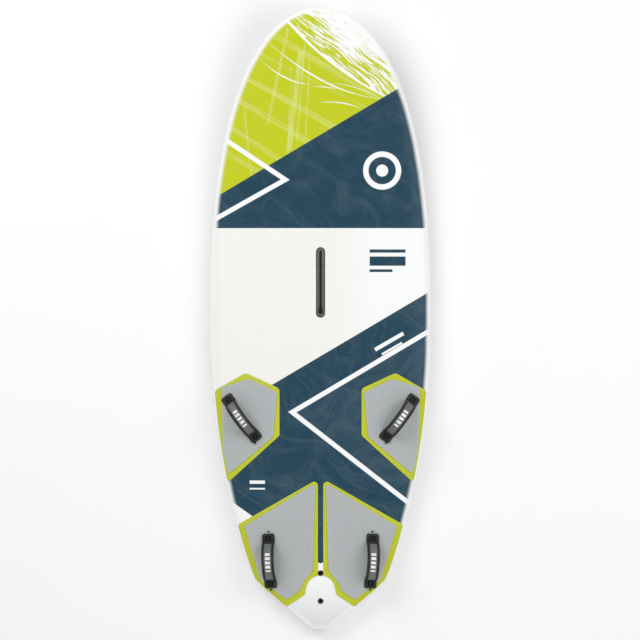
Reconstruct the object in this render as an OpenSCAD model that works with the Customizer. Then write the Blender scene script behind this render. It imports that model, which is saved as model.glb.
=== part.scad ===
// Wind-foil sailboard: a foam core in a two-part sandwich shell, with a mast
// track, a foil box, eight deck-pad layers, four footstraps and a vent.
// The board lies flat: +Y is the nose, +X is starboard and +Z is up.
// The origin is on the bottom plane, at the middle of the length and width.

/* [Board] */
// Overall length from the tail to the nose
board_len = 2280; // [1900:10:2740]
// Greatest width, at the middle of the length
board_w = 810; // [675:5:975]
// Greatest thickness, on the centreline
board_t = 112; // [95:1:140]
// Height of the nose's bottom above the flat of the bottom
nose_lift = 170; // [90:5:240]
// Distance from the tail to the point where the nose begins to rise
rise_from_tail = 1340; // [1150:10:1500]
// Width of the board at the hips, ahead of the cut-off tail corners
hip_w = 500; // [430:2:560]
// Distance from the tail to the hips
hip_from_tail = 190; // [160:5:230]
// Width of the straight edge at the very tail
tail_w = 60; // [40:2:90]
// Thickness of the shell at the rails, the nose and the tail
rail_wall = 4; // [3:0.5:6]
// Thickness of the deck's sandwich laminate
deck_wall = 5; // [4:0.5:7]
// Thickness of the bottom laminate
bottom_wall = 3; // [2:0.5:5]

/* [Mast track] */
// Distance from the tail to the middle of the mast track
track_from_tail = 1275; // [1150:5:1400]
// Overall length of the mast track box
track_len = 258; // [230:2:300]
// Overall width of the mast track box
track_w = 33; // [30:1:40]
// Depth of the mast track box
track_depth = 32; // [30:1:40]
// Width of the slot that the mast foot's bolt slides in
track_slot_w = 9; // [7:0.5:11]
// Width of the tee cavity and of the entry hole for the nut
track_tee_w = 17; // [15:0.5:22]

/* [Foil box] */
// Distance from the tail to the middle of the foil box
foil_from_tail = 156.7; // [150:0.1:190]
// Length of the foil slot at the bottom of the board
foil_slot_len = 145; // [137:1:150]
// Width of the foil slot
foil_slot_w = 17; // [14:0.5:20]
// Lean of each end of the foil slot, in degrees
foil_slot_taper = 7; // [4:0.5:9]
// Wall of the foil box round its slot
foil_wall = 9; // [7:0.5:12]
// Distance between the two bolts of the foil box
foil_bolt_pitch = 102.6; // [96:0.2:105]
// Radius of the foil bolt holes
foil_bolt_r = 4.25; // [3.5:0.05:4.5]

/* [Pads] */
// Thickness of the lower pad layer, which shows as the border
pad_base_t = 3; // [2:0.5:5]
// Thickness of the upper pad layer, which is textured
pad_top_t = 5; // [3:0.5:8]
// Distance from the pads' outer edges to the board's outline
pad_rail_gap = 8; // [5:1:14]

/* [Footstraps] */
// Distance between a strap's two screws
strap_pitch = 164; // [156:1:180]
// Width of the strap's cover
strap_w = 46; // [42:1:54]
// Radius of the strap's webbing where it arches over the foot
strap_r = 66; // [62:1:70]
// Distance from the tail to the middle of the front straps
front_strap_from_tail = 777; // [730:1:820]
// Distance from the middle of a front strap in to the board's outline
front_strap_from_rail = 97; // [90:1:115]
// Turn of the front straps away from the centreline, in degrees
front_strap_turn = 36.3; // [28:0.5:42]
// Distance from the tail to the aft screws of the rear straps
rear_foot_from_tail = 171.4; // [164:0.2:183]
// Distance from the middle of a rear strap to the centreline
rear_strap_x = 186; // [175:1:190]
// Turn of the rear straps away from the centreline, in degrees
rear_strap_turn = 2.9; // [-5:0.1:5]
// Distance between the holes of one strap insert
insert_pitch = 25; // [22:0.5:28]

/* [Vent] */
// Distance from the tail to the pressure vent on the underside
vent_from_tail = 1700; // [1600:10:1800]

/* [Hidden] */
sides = ["left", "right"];
$fn = 48;

lime = [0.77, 0.81, 0.18];
foam_grey = [0.70, 0.73, 0.74];
dark = [0.11, 0.11, 0.12];

half_len = board_len / 2;
half_w = board_w / 2;

// ---- Outline and section of the hull --------------------------------------

// The nose's curve is drawn to a point this much past the real tip
nose_reach = 1.0006;
tail_reach = 1.006;
// Height of the rail's widest line, as a share of the thickness there
rail_share = 0.35;
// Share of the deck's rise that is the crown, and not the rail's roll
crown_share = 0.32;
// How fast the rail rolls over into the deck and into the bottom
deck_roll = 24;
bottom_roll = 4;
rail_round = 1 / 2.2;
// Half-width gained for each millimetre forward along the cut-off corners
corner_flare = 1.2;
corner_round = 10;
// How many lengthwise and crosswise steps the hull's surfaces are drawn with
stations = 40;
columns = 9;
// How far cutting shapes reach past the surface that they cut
past = 10;
// Distance over which slopes are measured
slope_step = 10;

function from_tail(d) = d - half_len;
function soft_min(a, b, k) = (a + b - sqrt((a - b) * (a - b) + k * k)) / 2;
function nose_u(y) = y / (half_len * nose_reach);
function tail_v(y) = -y / (half_len * tail_reach);

// Half of the board's width at a place along its length
function aft_side(y) = half_w - (half_w - hip_w / 2) * pow(-y / (half_len - hip_from_tail), 2.15);
function corner_cut(y) = tail_w / 2 + (y + half_len) * corner_flare;
function half_width(y) =
    y >= 0 ? half_w * pow(1 - pow(nose_u(y), 2.5), 1 / 2.1)
           : soft_min(aft_side(y), corner_cut(y), corner_round);

// How far the section has closed towards the nose and the tail
function closing(y) =
    y >= 0 ? sqrt(1 - pow(nose_u(y), 12)) : sqrt(1 - pow(tail_v(y), 60));
function thickness(y) =
    y >= 0 ? board_t * (1 - 0.5 * pow(nose_u(y), 2)) : board_t * (1 - 0.25 * pow(tail_v(y), 3));
rise_y = from_tail(rise_from_tail);
function rise(y) = y > rise_y ? nose_lift * pow((y - rise_y) / (half_len - rise_y), 2.1) : 0;
function rail_z(y) = rise(y) + rail_share * thickness(y);
function deck_rise(y) = (1 - rail_share) * thickness(y) * closing(y);
function bottom_drop(y) = rail_share * thickness(y) * closing(y);

// Shape of the deck and the bottom across the board, where r runs from -1 to 1
function deck_shape(r) =
    crown_share * (1 - r * r) + (1 - crown_share) * pow(max(0, 1 - pow(abs(r), deck_roll)), rail_round);
function bottom_shape(r) =
    pow(max(0, 1 - pow(max(0, 2 * abs(r) - 1), bottom_roll)), rail_round);
function deck_z(x, y) = rail_z(y) + deck_rise(y) * deck_shape(x / half_width(y));

function station_y(i) = half_len * sin(180 * i / stations - 90);
function column_r(j) =
    let (t = j / columns - 1) sign(t) * (1 - pow(1 - abs(t), 2.6));

// One point of the deck, of the bottom, and of the surfaces inside and outside them
function deck_point(y, r, out = 0) = [
    half_width(y) * r * (1 + out / half_w),
    y,
    rail_z(y) + deck_rise(y) * deck_shape(r) * (1 + out / deck_rise(y))
];
inner_x = 1 - rail_wall / half_w;
inner_y = 1 - rail_wall / half_len;
inner_deck = 1 - deck_wall / ((1 - rail_share) * board_t);
inner_bottom = 1 - bottom_wall / (rail_share * board_t);
function deck_inside(y, r) = [
    half_width(y) * r * inner_x, y * inner_y, rail_z(y) + deck_rise(y) * deck_shape(r) * inner_deck
];
function bottom_point(y, r) = [
    half_width(y) * r, y, rail_z(y) - bottom_drop(y) * bottom_shape(r)
];
function bottom_inside(y, r) = [
    half_width(y) * r * inner_x, y * inner_y, rail_z(y) - bottom_drop(y) * bottom_shape(r) * inner_bottom
];

// Height of the underside and of the deck's inner face on the centreline
function core_top(y) = rail_z(y) + deck_rise(y) * inner_deck;
function underside(y) = rise(y);

// ---- Meshes made of a grid of points --------------------------------------

last = 2 * columns;
row = last + 1;
grid_size = (stations + 1) * row;
end_size = last - 1;
skin_size = grid_size + 2 * end_size;
function at(i, j) = i * row + j;

// The two triangles between four neighbours; the split mirrors at the centreline
function cell(a, b, c, d, port) = port ? [[a, b, c], [a, c, d]] : [[a, b, d], [b, c, d]];
function turned(faces) = [for (f = faces) [f[2], f[1], f[0]]];

// Rail-height point j on the end wall at the tail (wall 0) or the nose (wall 1)
function wall_at(wall, j) =
    j == 0 || j == last ? at(wall * stations, j) : grid_size + wall * end_size + j - 1;

// Faces of one skin: the grid, and the end walls down or up to the rail's height
function skin_faces() = [
    for (i = [0:stations - 1]) for (j = [0:last - 1])
        each cell(at(i, j), at(i + 1, j), at(i + 1, j + 1), at(i, j + 1), j < columns),
    for (j = [0:last - 1]) each wall_faces(0, j),
    for (j = [0:last - 1]) each turned(wall_faces(1, j))
];
function wall_faces(wall, j) =
    let (a = at(wall * stations, j), b = at(wall * stations, j + 1),
         c = wall_at(wall, j + 1), d = wall_at(wall, j))
    [if (j < last - 1) [a, b, c], if (j > 0) [a, c, d]];

// The rail line all the way round a skin
function rim() = [
    for (i = [0:stations]) at(i, 0),
    for (j = [1:last - 1]) wall_at(1, j),
    for (i = [stations:-1:0]) at(i, last),
    for (j = [last - 1:-1:1]) wall_at(0, j)
];
function rim_faces(up) =
    let (line = rim(), n = len(line))
    [for (k = [0:n - 1])
        let (a = line[k], b = line[(k + 1) % n])
        each (up ? [[a, b, b + skin_size], [a, b + skin_size, a + skin_size]]
                 : [[b, a, b + skin_size], [a, a + skin_size, b + skin_size]])];

function shifted(faces, n) = [for (f = faces) [f[0] + n, f[1] + n, f[2] + n]];
function end_line(points, wall) =
    let (i = wall * stations, z = rail_z(station_y(i)))
    [for (j = [1:last - 1]) let (p = points[at(i, j)]) [p[0], p[1], z]];

module shell_of(outside, inside, up) {
    points = concat(outside, end_line(outside, 0), end_line(outside, 1),
                    inside, end_line(inside, 0), end_line(inside, 1));
    skin = skin_faces();
    faces = concat(up ? skin : turned(skin), shifted(up ? turned(skin) : skin, skin_size), rim_faces(up));
    polyhedron(points, faces);
}

// The solid between the inner faces of the deck and the bottom
module core_body() {
    inner_row = last - 1;
    base = grid_size;
    upper = [for (i = [0:stations]) for (j = [0:last]) deck_inside(station_y(i), column_r(j))];
    lower = [for (i = [0:stations]) for (j = [1:last - 1]) bottom_inside(station_y(i), column_r(j))];
    function low(i, j) = j == 0 || j == last ? at(i, j) : base + i * inner_row + j - 1;
    faces = [
        for (i = [0:stations - 1]) for (j = [0:last - 1])
            each cell(at(i, j), at(i + 1, j), at(i + 1, j + 1), at(i, j + 1), j < columns),
        for (i = [0:stations - 1]) for (j = [0:last - 1])
            each turned(cell(low(i, j), low(i + 1, j), low(i + 1, j + 1), low(i, j + 1), j < columns)),
        for (wall = [0, 1]) for (j = [0:last - 1])
            let (i = wall * stations,
                 a = at(i, j), b = at(i, j + 1), c = low(i, j + 1), d = low(i, j),
                 pair = [if (j < last - 1) [a, b, c], if (j > 0) [a, c, d]])
            each (wall == 0 ? pair : turned(pair))
    ];
    polyhedron(concat(upper, lower), faces);
}

// A layer that lies on the port half of the deck between two stations
module deck_layer(y_low, y_high, below, above) {
    first = max([for (i = [1:stations - 1]) if (station_y(i) < y_low) i]);
    final = min([for (i = [1:stations - 1]) if (station_y(i) > y_high) i]);
    n = final - first;
    layer = (n + 1) * (columns + 1);
    points = [for (out = [below, above]) for (i = [first:final]) for (j = [0:columns])
        deck_point(station_y(i), column_r(j), out)];
    function p(i, j) = i * (columns + 1) + j;
    sheet = [for (i = [0:n - 1]) for (j = [0:columns - 1])
        each cell(p(i, j), p(i + 1, j), p(i + 1, j + 1), p(i, j + 1), true)];
    edge = concat([for (i = [0:n]) p(i, 0)], [for (j = [1:columns]) p(n, j)],
                  [for (i = [n - 1:-1:0]) p(i, columns)], [for (j = [columns - 1:-1:1]) p(0, j)]);
    m = len(edge);
    sides_round = [for (k = [0:m - 1])
        let (a = edge[k], b = edge[(k + 1) % m])
        each [[a, b + layer, b], [a, a + layer, b + layer]]];
    polyhedron(points, concat(turned(sheet), shifted(sheet, layer), sides_round));
}

// ---- Places ----------------------------------------------------------------

function unit(v) = v / norm(v);
function on_deck(x, y) = [x, y, deck_z(x, y)];

// The deck's upward direction, not yet of unit length
function deck_up(x, y) =
    let (step = slope_step / 2)
    [(deck_z(x - step, y) - deck_z(x + step, y)) / slope_step,
     (deck_z(x, y - step) - deck_z(x, y + step)) / slope_step, 1];

// A frame from its origin, a direction close to its Z, and its Y
function frame_of(c, up, s) =
    let (w = unit(cross(s, up)), n = cross(w, s))
    [[w[0], s[0], n[0], c[0]], [w[1], s[1], n[1], c[1]], [w[2], s[2], n[2], c[2]], [0, 0, 0, 1]];

// Frame on the deck with Y fore and Z along the deck's normal
function deck_frame(x, y) =
    let (up = deck_up(x, y)) frame_of(on_deck(x, y), up, unit([0, 1, -up[1]]));

// Frame of a strap: its middle on the deck, its chord along Y, and Z away from the deck
function strap_frame(x, y, turn) =
    let (d = strap_pitch / 2 * [-sin(turn), cos(turn)],
         fore = on_deck(x + d[0], y + d[1]),
         aft = on_deck(x - d[0], y - d[1]))
    frame_of((fore + aft) / 2, deck_up(x, y), unit(fore - aft));

front_y = from_tail(front_strap_from_tail);
front_x = -(half_width(front_y) - front_strap_from_rail);
rear_y = from_tail(rear_foot_from_tail) + strap_pitch / 2;
front_frame = strap_frame(front_x, front_y, front_strap_turn);
rear_frame = strap_frame(-rear_strap_x, rear_y, rear_strap_turn);

// Mirror for the starboard side
module on_side(side) {
    if (side == "left") children();
    else mirror([1, 0, 0]) children();
}

// ---- Shapes in the plane ---------------------------------------------------

// A slot shape with round ends, along Y
module stadium(length, width) {
    square([width, length - width], center = true);
    for (end = [-1, 1]) translate([0, end * (length - width) / 2]) circle(d = width);
}

module rounded_plate(size_x, size_y, r) {
    square([size_x, size_y - 2 * r], center = true);
    square([size_x - 2 * r, size_y], center = true);
    for (sx = [-1, 1]) for (sy = [-1, 1])
        translate([sx * (size_x / 2 - r), sy * (size_y / 2 - r)]) circle(r = r);
}

// ---- Hull ------------------------------------------------------------------

module deck_shell() {
    color("white")
    difference() {
        shell_of([for (i = [0:stations]) for (j = [0:last]) deck_point(station_y(i), column_r(j))],
                 [for (i = [0:stations]) for (j = [0:last]) deck_inside(station_y(i), column_r(j))],
                 true);
        track_place() track_outer(past);
        sleeves_outer(past);
        for (side = sides) on_side(side) {
            multmatrix(front_frame) insert_bodies(front_holes, front_strap_turn, past);
            multmatrix(rear_frame) insert_bodies(rear_holes, rear_strap_turn, past);
        }
    }
}

module bottom_shell() {
    color("whitesmoke")
    difference() {
        shell_of([for (i = [0:stations]) for (j = [0:last]) bottom_point(station_y(i), column_r(j))],
                 [for (i = [0:stations]) for (j = [0:last]) bottom_inside(station_y(i), column_r(j))],
                 false);
        foil_place() foil_outer(-past);
        vent_place() vent_outer(past);
    }
}

module foam_core() {
    color("ivory")
    difference() {
        core_body();
        track_place() track_outer(past);
        track_place() track_block_outer();
        foil_place() foil_outer(-past);
        foil_place() foil_block_outer();
        sleeves_outer(past);
        vent_place() vent_outer(past);
        for (side = sides) on_side(side) {
            multmatrix(front_frame) insert_bodies(front_holes, front_strap_turn, past);
            multmatrix(rear_frame) insert_bodies(rear_holes, rear_strap_turn, past);
        }
    }
}

// ---- Mast track ------------------------------------------------------------

track_y = from_tail(track_from_tail);
track_tilt = atan((deck_z(0, track_y + track_len / 2) - deck_z(0, track_y - track_len / 2)) / track_len);
// How far the box stands out of the deck
track_proud = 0.6;
// Thickness of the lips over the tee cavity
track_lip = 8;
tee_h = 16;
// How much further the tee cavity runs than the slot at each end
tee_extra = 2;
track_end = (track_w - track_slot_w) / 2;
// Entry hole for the nut, a little narrower than the tee cavity and clear of its end
entry_len = 26;
entry_w = track_tee_w - 1;
entry_shift = 1;
// Dense foam beside and under the box
block_side = 20;
block_under = 12;

module track_place() {
    translate([0, track_y, deck_z(0, track_y)]) rotate([track_tilt, 0, 0]) children();
}

module track_outer(above) {
    translate([0, 0, -track_depth]) linear_extrude(track_depth + above) stadium(track_len, track_w);
}

module track_block_outer() {
    translate([0, 0, -track_depth - block_under])
        linear_extrude(track_depth + block_under - 2 * deck_wall)
            stadium(track_len + 2 * block_side, track_w + 2 * block_side);
}

module mast_track_box() {
    slot_len = track_len - 2 * track_end;
    entry_y = -track_len / 2 + track_end + entry_len / 2 + entry_shift;
    color("dimgray")
    track_place()
    difference() {
        track_outer(track_proud);
        translate([0, 0, -track_lip - 1]) linear_extrude(track_lip + past) stadium(slot_len, track_slot_w);
        translate([0, 0, -track_lip - tee_h])
            linear_extrude(tee_h) stadium(slot_len + 2 * tee_extra, track_tee_w);
        translate([0, entry_y, -track_lip - 1])
            linear_extrude(track_lip + past) stadium(entry_len, entry_w);
    }
}

module mast_track_block() {
    color("tan")
    track_place()
    difference() {
        track_block_outer();
        track_outer(past);
    }
}

// ---- Foil box --------------------------------------------------------------

foil_y = from_tail(foil_from_tail);
// Distance from the deck down to the slot's roof, and the roof's thickness
roof_below_deck = 21;
roof_t = 10;
// Least distance from the box up to the deck shell on the centreline
roof_clear = 1.2;
slot_depth = deck_z(0, foil_y) - roof_below_deck;
// Sleeves that take the bolts' heads under the deck
sleeve_r = foil_bolt_r + 6.25;
head_r = foil_bolt_r + 4.25;
head_depth = 12;
sleeve_proud = 0.8;
sleeve_gap = 0.5;
// The round ends of the box are this much thicker than its sides
foil_end_extra = 6;
foil_outer_len = max(foil_slot_len + 2 * (foil_wall + foil_end_extra), foil_bolt_pitch + 2 * sleeve_r);
foil_outer_w = foil_slot_w + 2 * foil_wall;
// A longer box reaches to where the deck is lower, so its roof gets thinner there
foil_top = min(slot_depth + roof_t, core_top(foil_y - foil_outer_len / 2) - roof_clear);
// Dense foam round the box, and the core left above it
foil_block_side = 20;
foil_block_cover = 6;
foil_block_len = foil_outer_len + 2 * foil_block_side;
foil_block_top = core_top(foil_y - foil_block_len / 2) - foil_block_cover;

module foil_place() {
    translate([0, foil_y, 0]) children();
}

module foil_outer(from_z) {
    translate([0, 0, from_z]) linear_extrude(foil_top - from_z) stadium(foil_outer_len, foil_outer_w);
}

module foil_block_outer() {
    translate([0, 0, 2 * bottom_wall])
        linear_extrude(foil_block_top - 2 * bottom_wall)
            stadium(foil_block_len, foil_outer_w + 2 * foil_block_side);
}

// The tapered slot: two leaning slots, each of which shapes one end
module foil_slot() {
    reach = 2 * foil_slot_len;
    lift = reach * sin(foil_slot_taper);
    intersection_for (end = [-1, 1])
        translate([0, end * foil_slot_len / 2, 0]) rotate([end * foil_slot_taper, 0, 0])
            translate([0, -end * reach / 2, -past]) linear_extrude(slot_depth + lift + 2 * past)
                stadium(reach, foil_slot_w);
}

module foil_bolt_holes() {
    at_foil_bolts() translate([0, 0, slot_depth - past])
        cylinder(r = foil_bolt_r, h = roof_below_deck + 3 * past);
}

module foil_box() {
    color("dimgray")
    difference() {
        foil_place() foil_outer(0);
        foil_place() intersection() {
            translate([-foil_outer_w / 2, -foil_outer_len / 2, -past])
                cube([foil_outer_w, foil_outer_len, slot_depth + past]);
            foil_slot();
        }
        foil_bolt_holes();
    }
}

module foil_box_block() {
    color("tan")
    foil_place()
    difference() {
        foil_block_outer();
        foil_outer(-past);
    }
}

module at_foil_bolts() {
    for (end = [-1, 1]) translate([0, foil_y + end * foil_bolt_pitch / 2, 0]) children();
}

module sleeves_outer(above) {
    for (end = [-1, 1]) {
        y = foil_y + end * foil_bolt_pitch / 2;
        translate([0, y, foil_top]) cylinder(r = sleeve_r, h = deck_z(0, y) + above - foil_top);
    }
}

module foil_bolt_sleeves() {
    color("gray")
    difference() {
        sleeves_outer(sleeve_proud);
        foil_bolt_holes();
        for (end = [-1, 1]) {
            y = foil_y + end * foil_bolt_pitch / 2;
            translate([0, y, deck_z(0, y) - head_depth]) cylinder(r = head_r, h = head_depth + past);
        }
    }
}

// ---- Pads ------------------------------------------------------------------

corner_steps = 5;

// A polygon whose corners [x, y, r] are rounded to their radius
function rounded(points) =
    let (n = len(points))
    [for (k = [0:n - 1])
        let (p = points[k], r = p[2], c = [p[0], p[1]],
             before = points[(k + n - 1) % n], after = points[(k + 1) % n],
             a = unit([before[0], before[1]] - c), b = unit([after[0], after[1]] - c))
        each (r == 0 ? [c] :
            let (half = acos(a * b) / 2,
                 centre = c + unit(a + b) * r / sin(half),
                 start = c + a * r / tan(half) - centre,
                 stop = c + b * r / tan(half) - centre)
            [for (s = [0:corner_steps]) centre + r * unit(start * (corner_steps - s) + stop * s)])];

// A corner of a pad on the port side, measured in from the board's outline
function rail_corner(y, inset, r) = [inset - half_width(y), y, r];
function rail_line(y_from, y_to, steps) =
    [for (k = [1:steps - 1]) rail_corner(y_from + (y_to - y_from) * k / steps, pad_rail_gap, 0)];

// Outlines of the front pad's lower and upper layers, placed from the middle of its strap
front_tip_y = front_y - 236;
front_shoulder_y = front_y + 101;
front_base_points = rounded(concat(
    [[front_x + 13, front_y + 166, 22],
     [front_x + 138, front_y + 109, 18],
     [front_x + 138, front_y - 64, 12],
     rail_corner(front_tip_y, pad_rail_gap, 6)],
    rail_line(front_tip_y, front_shoulder_y, 8),
    [rail_corner(front_shoulder_y, pad_rail_gap, 18)]
));
front_top_points = rounded([
    [front_x + 27, front_y + 144, 10],
    [front_x + 129, front_y + 95, 4],
    [front_x + 114, front_y - 68, 14],
    rail_corner(front_y - 204, 11 + pad_rail_gap, 4),
    rail_corner(front_y - 117, 7 + pad_rail_gap, 60),
    rail_corner(front_y + 113, 25 + pad_rail_gap, 8)
]);

// Outlines of the rear pad's layers, placed from its strap, the foil box and the centreline
rear_gap = 9.5;
rear_tip_y = foil_y - 72;
rear_shoulder_y = rear_y + 133;
bay_r = 53;
bay_y = foil_y - 10;
rear_base_points = rounded(concat(
    [[-rear_gap, rear_y + 301, 14], [-rear_gap, bay_y + sqrt(bay_r * bay_r - rear_gap * rear_gap), 0]],
    [for (a = [20:14:76]) [-bay_r * sin(a), bay_y + bay_r * cos(a), 0]],
    [[-bay_r - 5, foil_y - 28, 8], rail_corner(rear_tip_y, pad_rail_gap, 8)],
    rail_line(rear_tip_y, rear_shoulder_y, 9),
    [rail_corner(rear_shoulder_y, pad_rail_gap, 14)]
));
rear_top_points = rounded([
    [-rear_gap - 10, rear_y + 286, 8],
    [-rear_gap - 20, bay_y + bay_r + 16, 6],
    [-bay_r - 14, bay_y + 26, 22],
    [-bay_r - 21, foil_y - 10, 14],
    rail_corner(rear_tip_y + 27, 32 + pad_rail_gap, 6),
    rail_corner(rear_y - 72, 16 + pad_rail_gap, 60),
    rail_corner(rear_y + 127, 23 + pad_rail_gap, 6)
]);

module pad(place, points, below, above) {
    ys = [for (p = points) p[1]];
    difference() {
        intersection() {
            deck_layer(min(ys), max(ys), below, above);
            linear_extrude(board_t + nose_lift) polygon(points);
        }
        if (place == "rear") at_foil_bolts() cylinder(r = sleeve_r + sleeve_gap, h = board_t + nose_lift);
        if (place == "front")
            multmatrix(front_frame) insert_holes(front_holes, front_strap_turn, pad_hole_r, pad_t + past);
        else
            multmatrix(rear_frame) insert_holes(rear_holes, rear_strap_turn, pad_hole_r, pad_t + past);
    }
}

module pad_base(place, side) {
    color(lime) on_side(side)
        pad(place, place == "front" ? front_base_points : rear_base_points, 0, pad_base_t);
}

module pad_top(place, side) {
    color(foam_grey) on_side(side)
        pad(place, place == "front" ? front_top_points : rear_top_points, pad_base_t, pad_t);
}

// ---- Footstraps ------------------------------------------------------------

pad_t = pad_base_t + pad_top_t;
// Room under the strap's feet, and between its curved layers
rest_gap = 0.4;
layer_gap = 0.1;
web_t = 2.5;
web_w = strap_w - 8;
cover_t = 3;
padding_t = 6;
padding_w = strap_w - 4;
patch_t = 1.2;
patch_w = strap_w - 20;
patch_half_angle = 66;
tab_z = pad_t + rest_gap;
// The padding and the cover end at this angle above the deck
arch_start = 19;
screw_y = strap_pitch / 2;
tab_end = screw_y + 16;
plate_t = 2;
plate_size = [30, 20];
cap_top = pad_t + 8;
cap_size = [strap_w, 32.5];
cap_corner = 6;
cap_end_wall = 2;
cap_y = screw_y + 3;
cap_recess = 19;
screw_r = 2.9;
screw_len = 36;
head_size = [6, 3.2];
// The cross slot in a screw's head
drive_w = 7.2;
drive_t = 1.6;
drive_depth = 1.8;
insert_w = 20;
insert_depth = 34;
insert_sink = 0.4;
insert_hole_r = 3;
insert_hole_depth = 30;
pad_hole_r = 4;
// Holes of an insert, as steps from the hole in use: [fore insert, aft insert]
front_holes = [[0, -1], [0, -1]];
rear_holes = [[0, 1], [0, -1]];

// An arched strip centred on the strap's middle, from one angle to another
module arch(r_in, thick, width, start, stop) {
    translate([0, 0, pad_t]) rotate([90, 0, 90]) rotate([0, 0, start])
        rotate_extrude(angle = stop - start, $fn = 96)
            translate([r_in, -width / 2]) square([thick, width]);
}

module at_feet() {
    for (end = [-1, 1]) translate([0, end * screw_y, 0]) children();
}

module place_strap(place, side) {
    on_side(side) multmatrix(place == "front" ? front_frame : rear_frame) children();
}

// Side view of the webbing's arch
module webbing_arch() {
    difference() {
        circle(r = strap_r + web_t / 2, $fn = 96);
        circle(r = strap_r - web_t / 2, $fn = 96);
        translate([-2 * strap_r, rest_gap - 2 * strap_r]) square([4 * strap_r, 2 * strap_r]);
    }
}

module strap_webbing(place, side) {
    color(dark) place_strap(place, side)
    difference() {
        union() {
            translate([-web_w / 2, 0, pad_t]) rotate([90, 0, 90]) linear_extrude(web_w) webbing_arch();
            for (end = [0, 1]) mirror([0, end, 0])
                translate([-web_w / 2, strap_r, tab_z]) cube([web_w, tab_end - strap_r, web_t]);
        }
        at_feet() cylinder(r = insert_hole_r + 0.2, h = tab_z + web_t + past);
    }
}

module strap_padding(place, side) {
    color([0.2, 0.2, 0.21]) place_strap(place, side)
        arch(strap_r - web_t / 2 - layer_gap - padding_t, padding_t, padding_w,
             arch_start, 180 - arch_start);
}

module strap_cover(place, side) {
    color([0.13, 0.13, 0.14]) place_strap(place, side)
        arch(strap_r + web_t / 2 + layer_gap, cover_t, strap_w, arch_start, 180 - arch_start);
}

module strap_patch(place, side) {
    color([0.40, 0.41, 0.40]) place_strap(place, side)
        arch(strap_r + web_t / 2 + layer_gap + cover_t, patch_t, patch_w,
             90 - patch_half_angle, 90 + patch_half_angle);
}

module strap_end_caps(place, side) {
    slot = [web_w + 1, web_t + plate_t + 0.4];
    color(dark) place_strap(place, side)
    for (end = [0, 1]) mirror([0, end, 0]) translate([0, cap_y, 0])
        difference() {
            translate([0, 0, tab_z]) linear_extrude(cap_top - tab_z)
                rounded_plate(cap_size[0], cap_size[1], cap_corner);
            translate([-slot[0] / 2, -cap_size[1], tab_z - 1])
                cube([slot[0], 1.5 * cap_size[1] - cap_end_wall, slot[1] + 1]);
            translate([-cap_recess / 2, screw_y - cap_y - cap_recess / 2, tab_z])
                cube([cap_recess, cap_recess, cap_top]);
        }
}

module strap_plates(place, side) {
    color("silver") place_strap(place, side)
    at_feet() translate([0, 0, tab_z + web_t])
        linear_extrude(plate_t)
            difference() {
                rounded_plate(plate_size[0], plate_size[1], 3);
                circle(r = insert_hole_r + 0.1);
            }
}

module strap_screws(place, side) {
    under_head = tab_z + web_t + plate_t;
    color("lightsteelblue") place_strap(place, side)
    at_feet() difference() {
        union() {
            translate([0, 0, under_head]) cylinder(r = head_size[0], h = head_size[1]);
            translate([0, 0, under_head - screw_len]) cylinder(r = screw_r, h = screw_len);
        }
        for (turn = [0, 90]) rotate([0, 0, turn])
            translate([-drive_w / 2, -drive_t / 2, under_head + head_size[1] - drive_depth])
                cube([drive_w, drive_t, drive_depth + past]);
    }
}

// The steps run along the board, whichever way the strap is turned
module insert_steps(holes, turn) {
    for (foot = [0, 1]) translate([0, (1 - 2 * foot) * screw_y, 0]) rotate([0, 0, -turn])
        for (step = holes[foot]) translate([0, step * insert_pitch, 0]) children();
}

// Middle of the steps of an insert's holes
function insert_middle(steps) = (min(steps) + max(steps)) / 2 * insert_pitch;

module insert_bodies(holes, turn, above) {
    for (foot = [0, 1]) {
        steps = holes[foot];
        length = insert_w + (max(steps) - min(steps)) * insert_pitch;
        translate([0, (1 - 2 * foot) * screw_y, -insert_depth]) rotate([0, 0, -turn])
            translate([0, insert_middle(steps), 0])
                linear_extrude(insert_depth + above) stadium(length, insert_w);
    }
}

module insert_holes(holes, turn, r, above) {
    insert_steps(holes, turn) translate([0, 0, -insert_hole_depth])
        cylinder(r = r, h = insert_hole_depth + above);
}

// Everything above the inserts' own tops round a strap, which follow the deck
module over_inserts(frame) {
    reach = screw_y + insert_w + insert_pitch;
    deck_layer(frame[1][3] - reach, frame[1][3] + reach, -insert_sink, insert_depth);
}

module strap_inserts(place, side) {
    frame = place == "front" ? front_frame : rear_frame;
    holes = place == "front" ? front_holes : rear_holes;
    turn = place == "front" ? front_strap_turn : rear_strap_turn;
    color("darkslategray") on_side(side)
    difference() {
        multmatrix(frame) insert_bodies(holes, turn, past);
        multmatrix(frame) insert_holes(holes, turn, insert_hole_r, 2 * past);
        over_inserts(frame);
    }
}

// ---- Vent ------------------------------------------------------------------

vent_y = from_tail(vent_from_tail);
vent_tilt = atan((underside(vent_y + slope_step / 2) - underside(vent_y - slope_step / 2)) / slope_step);
vent_seat_r = 16;
vent_seat_depth = 20;
vent_proud = 0.5;
vent_plug_r = 7;
vent_plug_len = 15;
vent_head_r = 11;
vent_head_h = 4;
// Gaps round the plug's stem and round its head
vent_fit = 0.1;
vent_head_gap = 0.5;
seal_r = 1.5;
// Part of the seal's section that the plug's head covers
seal_grip = 1;
seal_line_r = 8.7;
coin_slot = [16, 2.4, 2];

// Local Z points down and out of the bottom here
module vent_place() {
    translate([0, vent_y, underside(vent_y)]) rotate([180 + vent_tilt, 0, 0]) children();
}

module vent_outer(above) {
    translate([0, 0, -vent_seat_depth]) cylinder(r = vent_seat_r, h = vent_seat_depth + above);
}

module seal_ring() {
    translate([0, 0, -vent_head_h]) rotate_extrude()
        translate([seal_line_r, 0]) circle(r = seal_r, $fn = 24);
}

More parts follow.
